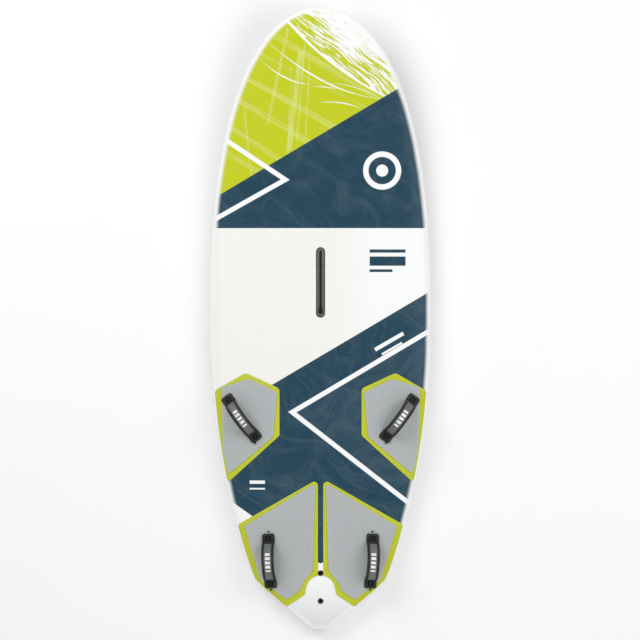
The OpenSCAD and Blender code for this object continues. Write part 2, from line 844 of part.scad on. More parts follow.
module vent_seat() {
    color("gainsboro") vent_place()
    difference() {
        vent_outer(vent_proud);
        translate([0, 0, -vent_head_h]) cylinder(r = vent_head_r + vent_head_gap, h = vent_head_h + past);
        translate([0, 0, -vent_plug_len - vent_fit])
            cylinder(r = vent_plug_r + vent_fit, h = vent_plug_len + past);
        seal_ring();
    }
}

module vent_plug() {
    color("gray") vent_place()
    difference() {
        union() {
            translate([0, 0, -vent_plug_len]) cylinder(r = vent_plug_r, h = vent_plug_len);
            translate([0, 0, -vent_head_h + seal_grip])
                cylinder(r = vent_head_r, h = vent_head_h - seal_grip);
        }
        translate([-coin_slot[0] / 2, -coin_slot[1] / 2, -coin_slot[2]])
            cube([coin_slot[0], coin_slot[1], coin_slot[2] + past]);
        seal_ring();
    }
}

module vent_seal() {
    color("black") vent_place() seal_ring();
}

// ---- Everything ------------------------------------------------------------

deck_shell();
bottom_shell();
foam_core();
mast_track_box();
mast_track_block();
foil_box();
foil_box_block();
foil_bolt_sleeves();
vent_seat();
vent_plug();
vent_seal();
for (place = ["front", "rear"]) for (side = sides) {
    name = str(place, "_", side);
    pad_base(place, side);
    pad_top(place, side);
    strap_webbing(place, side);
    strap_padding(place, side);
    strap_cover(place, side);
    strap_patch(place, side);
    strap_end_caps(place, side);
    strap_plates(place, side);
    strap_screws(place, side);
    strap_inserts(place, side);
}
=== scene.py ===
"""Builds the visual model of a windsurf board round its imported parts."""

import logging
import math
from dataclasses import dataclass
from enum import Enum
from typing import Optional, Sequence, Union

import bmesh
import bpy
import numpy as np
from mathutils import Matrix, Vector
from mathutils.geometry import delaunay_2d_cdt


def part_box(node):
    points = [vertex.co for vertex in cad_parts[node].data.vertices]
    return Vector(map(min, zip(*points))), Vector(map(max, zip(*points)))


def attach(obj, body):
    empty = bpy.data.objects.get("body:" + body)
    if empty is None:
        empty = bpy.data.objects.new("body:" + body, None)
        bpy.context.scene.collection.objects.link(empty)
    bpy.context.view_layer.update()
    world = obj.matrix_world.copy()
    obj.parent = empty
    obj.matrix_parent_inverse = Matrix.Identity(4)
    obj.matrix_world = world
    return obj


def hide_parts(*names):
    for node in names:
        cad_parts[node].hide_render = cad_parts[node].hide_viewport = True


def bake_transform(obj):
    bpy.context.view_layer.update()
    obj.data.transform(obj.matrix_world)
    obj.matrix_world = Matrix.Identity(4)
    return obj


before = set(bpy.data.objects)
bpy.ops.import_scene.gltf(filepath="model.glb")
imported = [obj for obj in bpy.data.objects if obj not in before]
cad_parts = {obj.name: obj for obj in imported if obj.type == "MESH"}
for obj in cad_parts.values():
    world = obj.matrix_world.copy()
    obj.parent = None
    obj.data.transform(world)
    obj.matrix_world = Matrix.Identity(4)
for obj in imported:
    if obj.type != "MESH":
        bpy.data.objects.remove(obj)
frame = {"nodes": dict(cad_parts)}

LOG = logging.getLogger("board")
Colour = tuple[float, float, float]
Spot = tuple[float, float]
Pair = tuple[int, int]
Faces = Sequence[Sequence[int]]
Material = bpy.types.Material
Piece = bpy.types.Object
Tree = bpy.types.NodeTree
Socket = bpy.types.NodeSocket
Feed = Union[float, Colour, Socket]
Points = np.ndarray
MIRROR = np.array([-1.0, 1.0, 1.0])


class Side(Enum):
    """The side of the board that a piece belongs to."""

    LEFT = "left"
    RIGHT = "right"


class Place(Enum):
    """The pair of straps and pads that a piece belongs to."""

    FRONT = "front"
    REAR = "rear"


# ---- Meshes -----------------------------------------------------------------


def soften(obj: Piece, limit: float = 32.0) -> None:
    """Shades a mesh smooth except across its corners.

    Args:
        obj: The object whose mesh is shaded.
        limit: The angle in degrees past which an edge stays sharp.
    """
    bm = bmesh.new()
    bm.from_mesh(obj.data)
    for face in bm.faces:
        face.smooth = True
    sharp = math.radians(limit)
    for edge in bm.edges:
        edge.smooth = len(edge.link_faces) == 2 and edge.calc_face_angle(0.0) < sharp
    bm.to_mesh(obj.data)
    bm.free()


def mesh_object(
    name: str, points: Points, faces: Faces, finish: Material, merge: float = 1e-7
) -> Piece:
    """Makes an object at the origin from points and faces.

    Args:
        name: The object's name.
        points: Rows of x, y and z in metres.
        faces: Lists of point numbers, anticlockwise from outside.
        finish: The material.
        merge: Points closer than this become one.

    Returns:
        The new object, softly shaded.
    """
    mesh = bpy.data.meshes.new(name)
    mesh.from_pydata([tuple(map(float, p)) for p in points], [], [list(map(int, f)) for f in faces])
    bm = bmesh.new()
    bm.from_mesh(mesh)
    bmesh.ops.remove_doubles(bm, verts=bm.verts[:], dist=merge)
    bmesh.ops.dissolve_degenerate(bm, edges=bm.edges[:], dist=merge)
    bm.to_mesh(mesh)
    bm.free()
    mesh.materials.append(finish)
    obj = bpy.data.objects.new(name, mesh)
    bpy.context.scene.collection.objects.link(obj)
    soften(obj)
    return obj


def grid_faces(rows: int, columns: int, start: int = 0, loop: bool = False) -> list[tuple[int, ...]]:
    """Faces between neighbouring rows of points.

    Args:
        rows: How many rows there are.
        columns: How many points a row has.
        start: The number of the first point.
        loop: Whether the last point of a row joins the first.

    Returns:
        One four-sided face for each cell.
    """
    faces = []
    for i in range(rows - 1):
        for j in range(columns if loop else columns - 1):
            k = (j + 1) % columns
            a, b = start + i * columns, start + (i + 1) * columns
            faces.append((a + j, a + k, b + k, b + j))
    return faces


def mirrored(points: Points, faces: Faces, side: Side) -> tuple[Points, list[list[int]]]:
    """Turns a left-hand shape into the shape for a side.

    Args:
        points: The left-hand points.
        faces: The left-hand faces.
        side: The side wanted.

    Returns:
        The points and faces, mirrored for the right side.
    """
    if side is Side.LEFT:
        return points, [list(f) for f in faces]
    return points * MIRROR, [list(reversed(f)) for f in faces]


def plain_mesh(obj: Piece) -> Piece:
    """Replaces an object's live modifiers by their result.

    Args:
        obj: The object with modifiers.

    Returns:
        The same object with a plain mesh.
    """
    view = bpy.context.evaluated_depsgraph_get()
    result = bpy.data.meshes.new_from_object(obj.evaluated_get(view), depsgraph=view)
    obj.modifiers.clear()
    obj.data = result
    return obj


def cut(obj: Piece, cutters: Sequence[Piece]) -> None:
    """Cuts shapes out of an object and removes them.

    Args:
        obj: The object that is cut.
        cutters: The shapes to take away.
    """
    for cutter in cutters:
        modifier = obj.modifiers.new("cut", "BOOLEAN")
        modifier.operation = "DIFFERENCE"
        modifier.solver = "EXACT"
        modifier.object = cutter
    plain_mesh(obj)
    for cutter in cutters:
        bpy.data.objects.remove(cutter)


def prism(name: str, outline: Points, low: float, high: float, finish: Material) -> Piece:
    """Makes an upright prism.

    Args:
        name: The object's name.
        outline: Rows of x and y, anticlockwise.
        low: Height of its bottom.
        high: Height of its top.
        finish: The material.

    Returns:
        The new object.
    """
    n = len(outline)
    points = np.array([[x, y, z] for z in (low, high) for x, y in outline])
    faces = [list(range(n))[::-1], list(range(n, 2 * n))] + grid_faces(2, n, loop=True)
    return mesh_object(name, points, faces, finish)


def stadium(length: float, width: float, steps: int = 24) -> Points:
    """Outline of a slot with round ends along Y.

    Args:
        length: Overall length.
        width: Overall width.
        steps: Points in each round end.

    Returns:
        Rows of x and y, anticlockwise.
    """
    r, run = width / 2, (length - width) / 2
    turn = np.linspace(0, math.pi, steps)
    fore = np.column_stack([r * np.cos(turn), run + r * np.sin(turn)])
    return np.vstack([fore, -fore])


def circle(r: float, count: int, centre: Spot = (0.0, 0.0)) -> Points:
    """Points round a circle, anticlockwise."""
    turn = np.linspace(0, math.tau, count + 1)[:-1]
    return np.array(centre) + r * np.column_stack([np.cos(turn), np.sin(turn)])


def add_value(obj: Piece, name: str, values: Points) -> None:
    """Stores one number for each point of a mesh."""
    obj.data.attributes.new(name, "FLOAT", "POINT").data.foreach_set("value", values.astype(np.float32))


def coordinates(obj: Piece) -> Points:
    """The places of a mesh's points, one row each."""
    return np.array([v.co for v in obj.data.vertices], float).reshape(-1, 3)


# ---- Shader nodes -----------------------------------------------------------


class Net:
    """Writes the nodes of a tree as short expressions."""

    def __init__(self, tree: Tree) -> None:
        """Starts writing in a tree."""
        self.tree = tree

    def add(self, kind: str, **settings: object) -> bpy.types.Node:
        """Adds a node.

        Args:
            kind: The node's type.
            **settings: Properties to set on it.

        Returns:
            The node.
        """
        node = self.tree.nodes.new(kind)
        for key, value in settings.items():
            setattr(node, key, value)
        return node

    def feed(self, socket: Socket, value: Feed) -> None:
        """Links a socket to another or sets its value."""
        if isinstance(value, Socket):
            self.tree.links.new(value, socket)
        elif isinstance(value, tuple) and len(socket.default_value) == 4:
            socket.default_value = (*value, 1.0)
        else:
            socket.default_value = value

    def step(self, kind: str, inputs: dict[Union[int, str], Feed], give: int = 0, **settings: object) -> Socket:
        """Adds a node and fills its inputs.

        Args:
            kind: The node's type.
            inputs: The names or numbers of inputs and their values.
            give: The number of the output wanted.
            **settings: Properties to set on it.

        Returns:
            The output's socket.
        """
        node = self.add(kind, **settings)
        for key, value in inputs.items():
            self.feed(node.inputs[key], value)
        return node.outputs[give]

    def math(self, operation: str, a: Feed, b: Feed = 0.0, c: Feed = 0.0, clamp: bool = False) -> Socket:
        """Adds one sum.

        Args:
            operation: The Math node's operation.
            a: First value.
            b: Second value.
            c: Third value.
            clamp: Whether the result is kept from 0 to 1.

        Returns:
            The result's socket.
        """
        return self.step("ShaderNodeMath", {0: a, 1: b, 2: c}, operation=operation, use_clamp=clamp)

    def times(self, a: Feed, b: Feed, clamp: bool = False) -> Socket:
        """The product of two values."""
        return self.math("MULTIPLY", a, b, clamp=clamp)

    def plus(self, a: Feed, b: Feed, clamp: bool = False) -> Socket:
        """The sum of two values."""
        return self.math("ADD", a, b, clamp=clamp)

    def minus(self, a: Feed, b: Feed, clamp: bool = False) -> Socket:
        """The difference of two values."""
        return self.math("SUBTRACT", a, b, clamp=clamp)

    def scaled(self, a: Feed, b: Feed, c: Feed, clamp: bool = False) -> Socket:
        """The product of two values plus a third."""
        return self.math("MULTIPLY_ADD", a, b, c, clamp)

    def mix(self, factor: Feed, a: Feed, b: Feed) -> Socket:
        """Mixes two colours.

        Args:
            factor: How much of the second shows.
            a: First colour.
            b: Second colour.

        Returns:
            The result's socket.
        """
        return self.step("ShaderNodeMix", {0: factor, 6: a, 7: b}, 2, data_type="RGBA")

    def ramp(self, value: Feed, low: float, high: float, start: float = 0.0, stop: float = 1.0) -> Socket:
        """A soft step.

        Args:
            value: The value tested.
            low: Where the step starts.
            high: Where it ends.
            start: Result below low.
            stop: Result above high.

        Returns:
            The result's socket.
        """
        inputs = {0: value, 1: low, 2: high, 3: start, 4: stop}
        return self.step("ShaderNodeMapRange", inputs, interpolation_type="SMOOTHSTEP")

    def noise(self, vector: Feed, scale: Feed, detail: float = 3.0, roughness: float = 0.5) -> Socket:
        """Adds noise.

        Args:
            vector: Where it is read.
            scale: Its scale.
            detail: How many finer layers it has.
            roughness: How strong the finer layers are.

        Returns:
            The value's socket.
        """
        inputs = {"Vector": vector, "Scale": scale, "Detail": detail, "Roughness": roughness}
        return self.step("ShaderNodeTexNoise", inputs)

    def split(self, vector: Socket) -> tuple[Socket, Socket, Socket]:
        """The three parts of a vector."""
        node = self.add("ShaderNodeSeparateXYZ")
        self.feed(node.inputs[0], vector)
        return node.outputs[0], node.outputs[1], node.outputs[2]

    def join(self, x: Feed, y: Feed, z: Feed = 0.0) -> Socket:
        """A vector made of three values."""
        return self.step("ShaderNodeCombineXYZ", {0: x, 1: y, 2: z})

    def place(self, vector: Socket, turn: float, scale: Colour = (1.0, 1.0, 1.0)) -> Socket:
        """Turns and stretches a pattern.

        Args:
            vector: The coordinates.
            turn: Angle about Z in degrees.
            scale: Stretch along each axis.

        Returns:
            The new coordinates.
        """
        inputs = {"Rotation": (0.0, 0.0, math.radians(turn)), "Scale": scale, "Vector": vector}
        return self.step("ShaderNodeMapping", inputs, vector_type="TEXTURE")

    def group(self, tree: Tree, **inputs: Feed) -> bpy.types.Node:
        """Places a group.

        Args:
            tree: The group.
            **inputs: Its values, with underscores for spaces.

        Returns:
            The group's node.
        """
        node = self.add("ShaderNodeGroup", node_tree=tree)
        for name, value in inputs.items():
            self.feed(node.inputs[name.replace("_", " ")], value)
        return node

    def object_coordinates(self) -> Socket:
        """Coordinates in the object's own frame."""
        return self.add("ShaderNodeTexCoord").outputs["Object"]

    def attribute(self, name: str) -> Socket:
        """A value stored on the mesh."""
        return self.add("ShaderNodeAttribute", attribute_name=name).outputs["Fac"]

    def vector_attribute(self, name: str) -> Socket:
        """A vector stored on the mesh."""
        return self.add("ShaderNodeAttribute", attribute_name=name).outputs["Vector"]


def open_tree(
    kind: str, name: str, inputs: dict[str, Union[float, str]], outputs: Sequence[str]
) -> tuple[Net, dict[str, Socket], dict[str, Socket]]:
    """Starts a group that works on a vector, or a tree that works on geometry.

    Args:
        kind: Shader or Geometry.
        name: The tree's name.
        inputs: Names of its other inputs, with their kinds, or first values for numbers.
        outputs: Names of its outputs, numbers in a shader.

    Returns:
        The net, and the tree's inputs and outputs by name.
    """
    first, last = ("Vector", "Float") if kind == "Shader" else (kind, kind)
    tree = bpy.data.node_groups.new(name, f"{kind}NodeTree")
    for key, value in {first: first, **inputs}.items():
        number = isinstance(value, float)
        sort = "Float" if number else value
        socket = tree.interface.new_socket(key, in_out="INPUT", socket_type=f"NodeSocket{sort}")
        if number:
            socket.default_value = value
    for key in outputs:
        tree.interface.new_socket(key, in_out="OUTPUT", socket_type=f"NodeSocket{last}")
    net = Net(tree)
    ends = (net.add("NodeGroupInput").outputs, net.add("NodeGroupOutput").inputs)
    return net, *({item.name: item for item in end if item.name} for end in ends)


class GroupMaker:
    """Makes the shader groups that several finishes share."""

    def __init__(self) -> None:
        """Builds every group once."""
        self.grain = self.make_grain()
        self.weave = self.make_weave()
        self.strokes = self.make_strokes()
        self.scuffs = self.make_scuffs()
        self.dust = self.make_dust()

    def make_grain(self) -> Tree:
        """Fine two-layer grain.

        Returns:
            A group that puts out a height and a soft mottle.
        """
        net, given, out = open_tree("Shader", "surface_grain", {"Scale": 900.0}, ("Height", "Mottle"))
        fine = net.noise(given["Vector"], given["Scale"], 2.0, 0.6)
        coarse = net.noise(given["Vector"], net.times(given["Scale"], 0.11), 3.0)
        net.feed(out["Height"], net.plus(net.times(fine, 0.7), net.times(coarse, 0.3)))
        net.feed(out["Mottle"], net.ramp(coarse, 0.3, 0.7))
        return net.tree

    def make_weave(self) -> Tree:
        """Crossing threads.

        Returns:
            A group that puts out a height and the gaps between threads.
        """
        net, given, out = open_tree("Shader", "thread_weave", {"Across": 900.0, "Along": 900.0}, ("Height", "Gaps"))
        x, y, _ = net.split(given["Vector"])
        u = net.math("SINE", net.times(x, net.times(given["Across"], math.pi)))
        v = net.math("SINE", net.times(y, net.times(given["Along"], math.pi)))
        ridge = net.plus(net.times(net.times(u, v), 0.5), 0.5)
        net.feed(out["Height"], ridge)
        net.feed(out["Gaps"], net.ramp(net.math("ABSOLUTE", net.times(u, v)), 0.0, 0.3, 1.0, 0.0))
        return net.tree

    def make_strokes(self) -> Tree:
        """Long brushed strokes.

        Returns:
            A group that puts out the strokes' strength.
        """
        inputs = {"Stretch": 4.0, "Density": 60.0, "Wander": 0.03}
        net, given, out = open_tree("Shader", "brushed_strokes", inputs, ("Strokes",))
        drift = net.noise(given["Vector"], 3.5, 2.0)
        drift = net.times(net.minus(drift, 0.5), given["Wander"])
        x, y, _ = net.split(given["Vector"])
        lane = net.times(net.plus(y, drift), given["Density"])
        spot = net.join(net.times(x, given["Stretch"]), lane, 0.0)
        net.feed(out["Strokes"], net.noise(spot, 1.0, 4.0, 0.62))
        return net.tree

    def make_scuffs(self) -> Tree:
        """Light marks of use.

        Returns:
            A group that puts out where the surface is scuffed.
        """
        net, given, out = open_tree("Shader", "wear_scuffs", {"Scale": 30.0, "Amount": 0.2}, ("Mask",))
        marks = net.noise(net.place(given["Vector"], 37.0, (1.0, 0.25, 1.0)), given["Scale"], 6.0, 0.7)
        edge = net.minus(0.82, net.times(given["Amount"], 0.3))
        rise = net.minus(marks, edge)
        net.feed(out["Mask"], net.times(rise, 9.0, clamp=True))
        return net.tree

    def make_dust(self) -> Tree:
        """Dust on what faces up.

        Returns:
            A group that puts out how dusty a place is.
        """
        net, given, out = open_tree("Shader", "settled_dust", {"Amount": 0.1}, ("Mask",))
        _, _, up = net.split(net.add("ShaderNodeNewGeometry").outputs["Normal"])
        patches = net.ramp(net.noise(given["Vector"], 14.0, 5.0, 0.65), 0.42, 0.7)
        lying = net.times(patches, net.math("MAXIMUM", up, 0.0))
        net.feed(out["Mask"], net.times(lying, given["Amount"], clamp=True))
        return net.tree


# ---- Finishes ---------------------------------------------------------------


class Texture(Enum):
    """What the surface of a simple finish looks like close up."""

    MOULDED = "moulded"
    FOAM = "foam"
    METAL = "metal"


class Surface(Net):
    """The nodes of one material, with the steps that the finishes share."""

    def __init__(self, name: str, groups: Optional[GroupMaker] = None) -> None:
        """Makes the material.

        Args:
            name: Its name.
            groups: The shared groups, where it uses them.
        """
        self.material = bpy.data.materials.new(name)
        self.material.use_nodes = True
        super().__init__(self.material.node_tree)
        self.groups = groups
        self.shader = next(n for n in self.tree.nodes if n.type == "BSDF_PRINCIPLED")
        self.where = self.object_coordinates()

    def set(self, **values: Feed) -> None:
        """Feeds the shader's inputs, with underscores for spaces in their names."""
        for name, value in values.items():
            self.feed(self.shader.inputs[name.replace("_", " ")], value)

    def grain(self, scale: float) -> tuple[Socket, Socket]:
        """Height and mottle of a fine grain."""
        made = self.group(self.groups.grain, Vector=self.where, Scale=scale)
        return made.outputs["Height"], made.outputs["Mottle"]

    def scuffed(self, scale: float, amount: float) -> Socket:
        """Where the surface is scuffed."""
        return self.group(self.groups.scuffs, Vector=self.where, Scale=scale, Amount=amount).outputs["Mask"]

    def dusted(self, colour: Feed, amount: float, dust: Colour) -> Socket:
        """A colour with dust on what faces up."""
        return self.mix(self.group(self.groups.dust, Vector=self.where, Amount=amount).outputs["Mask"], colour, dust)

    def pores(self, scale: float, low: float, high: float) -> Socket:
        """How far a point is from the nearest pore of a foam."""
        return self.ramp(self.step("ShaderNodeTexVoronoi", {"Vector": self.where, "Scale": scale}), low, high)

    def bump(self, height: Socket, strength: float, distance: float) -> None:
        """Feeds a height to the shader's normal.

        Args:
            height: The height's socket.
            strength: How strong it is.
            distance: How deep it is, in metres.
        """
        inputs = {"Strength": strength, "Distance": distance, "Height": height}
        self.set(Normal=self.step("ShaderNodeBump", inputs))


def toned(colour: Colour, factor: float, lift: float = 0.0) -> Colour:
    """A darker or lighter colour."""
    return tuple(min(1.0, c * factor + lift) for c in colour)


@dataclass(frozen=True)
class SolidFinish:
    """A finish of one substance with grain, mottle, scuffs and dust, and for foam painted shade in its pores."""

    name: str
    colour: Colour
    roughness: float
    texture: Texture = Texture.MOULDED
    scale: float = 900.0
    depth: float = 0.0002
    strength: float = 0.25
    scuffs: float = 0.25
    dust: float = 0.08
    mottle: float = 1.0

    def build(self, groups: GroupMaker) -> Material:
        """Makes the material.

        Args:
            groups: The shared groups.

        Returns:
            The material.
        """
        net = Surface(self.name, groups)
        height, mottle = net.grain(self.scale)
        dark = toned(self.colour, 1.0 - 0.18 * self.mottle)
        colour = net.mix(mottle, dark, toned(self.colour, 1.0 + 0.12 * self.mottle, 0.004))
        worn = net.scuffed(26.0, self.scuffs)
        colour = net.mix(net.times(worn, 0.5), colour, toned(self.colour, 1.5, 0.05))
        colour = net.dusted(colour, self.dust, (0.55, 0.53, 0.5))
        if self.texture is Texture.FOAM:
            pores = net.pores(self.scale * 0.7, 0.1, 0.75)
            height = net.plus(height, pores)
            # Painted shade: the foam's pores are darkened in colour.
            colour = net.mix(net.times(net.minus(1.0, pores), 0.16), colour, dark)
        if self.texture is Texture.METAL:
            lines = net.noise(net.place(net.where, 0.0, (1.0, 0.05, 1.0)), self.scale * 2.0, 2.0)
            height = net.plus(height, lines)
            net.set(Metallic=1.0)
        rough = net.ramp(mottle, 0.0, 1.0, self.roughness - 0.06, self.roughness + 0.06)
        net.set(Base_Color=colour, Roughness=net.plus(rough, net.times(worn, 0.12)))
        net.bump(height, self.strength, self.depth)
        return net.material


@dataclass(frozen=True)
class ClothFinish:
    """A woven finish that follows the piece's own strip coordinates, with painted highlight on its threads and painted
    shade between them.
    """

    name: str
    colour: Colour
    across: float
    along: float
    roughness: float = 0.85
    depth: float = 0.0003
    fuzz: float = 0.3

    def build(self, groups: GroupMaker) -> Material:
        """Makes the material.

        Args:
            groups: The shared groups.

        Returns:
            The material.
        """
        net = Surface(self.name, groups)
        weave = net.group(groups.weave, Vector=net.vector_attribute("strip"), Across=self.across, Along=self.along)
        threads, gaps = weave.outputs["Height"], weave.outputs["Gaps"]
        fine, mottle = net.grain(1600.0)
        # Painted highlight and shade: the raised threads are lightened and the gaps between them darkened in colour.
        colour = net.mix(threads, self.colour, toned(self.colour, 1.7, 0.004))
        colour = net.mix(net.times(gaps, 0.7), colour, toned(self.colour, 0.45))
        net.set(Base_Color=net.dusted(colour, 0.1, (0.3, 0.29, 0.27)), Sheen_Weight=self.fuzz, Sheen_Roughness=0.5)
        net.set(Roughness=net.ramp(mottle, 0.0, 1.0, self.roughness - 0.08, self.roughness))
        net.bump(net.plus(threads, net.times(fine, 0.4)), 0.6, self.depth)
        return net.material


@dataclass(frozen=True)
class PrintMask:
    """Writes the printed shapes of the deck as masks, in metres."""

    net: Net
    x: Socket
    y: Socket
    soft: float = 0.0012

    def left_of(self, start: Spot, end: Spot, soft: float = 0.0) -> Socket:
        """The side of a line that lies to the left of its direction.

        Args:
            start: A point of the line.
            end: A later point of it.
            soft: Width of the edge, or 0 for the usual one.

        Returns:
            The mask.
        """
        return self.net.plus(self.gap(start, end, 1.0 / (soft or self.soft)), 0.5, clamp=True)

    def gap(self, start: Spot, end: Spot, scale: float = 1.0) -> Socket:
        """Signed distance from a line, more on its left.

        Args:
            start: A point of the line.
            end: A later point of it.
            scale: Factor on the distance.

        Returns:
            The value.
        """
        run = math.dist(start, end)
        a, b = -(end[1] - start[1]) / run * scale, (end[0] - start[0]) / run * scale
        across = self.net.scaled(self.y, b, -(a * start[0] + b * start[1]))
        return self.net.scaled(self.x, a, across)

    def both(self, a: Socket, b: Socket) -> Socket:
        """Where two masks meet."""
        return self.net.math("MINIMUM", a, b)

    def either(self, a: Socket, b: Socket) -> Socket:
        """Where at least one of two masks is."""
        return self.net.math("MAXIMUM", a, b)

    def chevron(self, start: Spot, apex: Spot, end: Spot, width: float) -> tuple[Socket, Socket]:
        """A pointed line.

        Args:
            start: Outer edge of one arm, with the inside on its left.
            apex: The point.
            end: Outer edge of the other arm.
            width: The line's width.

        Returns:
            The line's mask and the mask of all that it encloses.
        """
        inside = self.both(self.left_of(start, apex), self.left_of(apex, end))
        shifted = []
        for a, b in ((start, apex), (apex, end)):
            run = math.dist(a, b)
            n = (-(b[1] - a[1]) / run * width, (b[0] - a[0]) / run * width)
            shifted.append(self.left_of((a[0] + n[0], a[1] + n[1]), (b[0] + n[0], b[1] + n[1])))
        core = self.both(*shifted)
        return self.net.minus(inside, core, clamp=True), inside

    def bar(self, centre: Spot, size: Spot, turn: float = 0.0) -> Socket:
        """A plain bar.

        Args:
            centre: Its middle.
            size: Its length and height.
            turn: Its angle in degrees.

        Returns:
            The mask.
        """
        c, s = math.cos(math.radians(turn)), math.sin(math.radians(turn))
        sides = []
        for (ux, uy), extent in (((c, s), size[0]), ((-s, c), size[1])):
            along = self.net.scaled(self.y, uy, -(ux * centre[0] + uy * centre[1]))
            along = self.net.math("ABSOLUTE", self.net.scaled(self.x, ux, along))
            sides.append(self.net.scaled(along, -1.0 / self.soft, extent / 2 / self.soft + 0.5, clamp=True))
        return self.both(*sides)

    def ring(self, centre: Spot, outer: float, inner: float) -> Socket:
        """A plain ring.

        Args:
            centre: Its middle.
            outer: Outer radius.
            inner: Inner radius, or 0 for a disc.

        Returns:
            The mask.
        """
        dx = self.net.minus(self.x, centre[0])
        dy = self.net.minus(self.y, centre[1])
        r = self.net.math("SQRT", self.net.plus(self.net.times(dx, dx), self.net.times(dy, dy)))
        disc = self.net.scaled(r, -1.0 / self.soft, outer / self.soft + 0.5, clamp=True)
        if inner <= 0.0:
            return disc
        return self.both(disc, self.net.scaled(r, 1.0 / self.soft, 0.5 - inner / self.soft, clamp=True))

    def arc(self, ends: Spot, curve: tuple[float, float, float], width: float, ragged: Socket) -> Socket:
        """A ragged streak along y = a + bx + cxx.

        Args:
            ends: Where it starts and stops along X.
            curve: The three factors.
            width: Its greatest width.
            ragged: Noise that wears its edges.

        Returns:
            The mask.
        """
        a, b, c = curve
        line = self.net.scaled(self.x, self.net.scaled(self.x, c, b), a)
        off = self.net.math("ABSOLUTE", self.net.minus(self.y, line))
        middle, half = (ends[0] + ends[1]) / 2, (ends[1] - ends[0]) / 2
        along = self.net.math("ABSOLUTE", self.net.scaled(self.x, 1.0 / half, -middle / half))
        taper = self.net.minus(1.0, along, clamp=True)
        body = self.net.times(taper, self.net.times(ragged, 2.4 * width))
        body = self.net.math("MINIMUM", body, width)
        return self.net.scaled(self.net.minus(body, off), 700.0, 0.0, clamp=True)


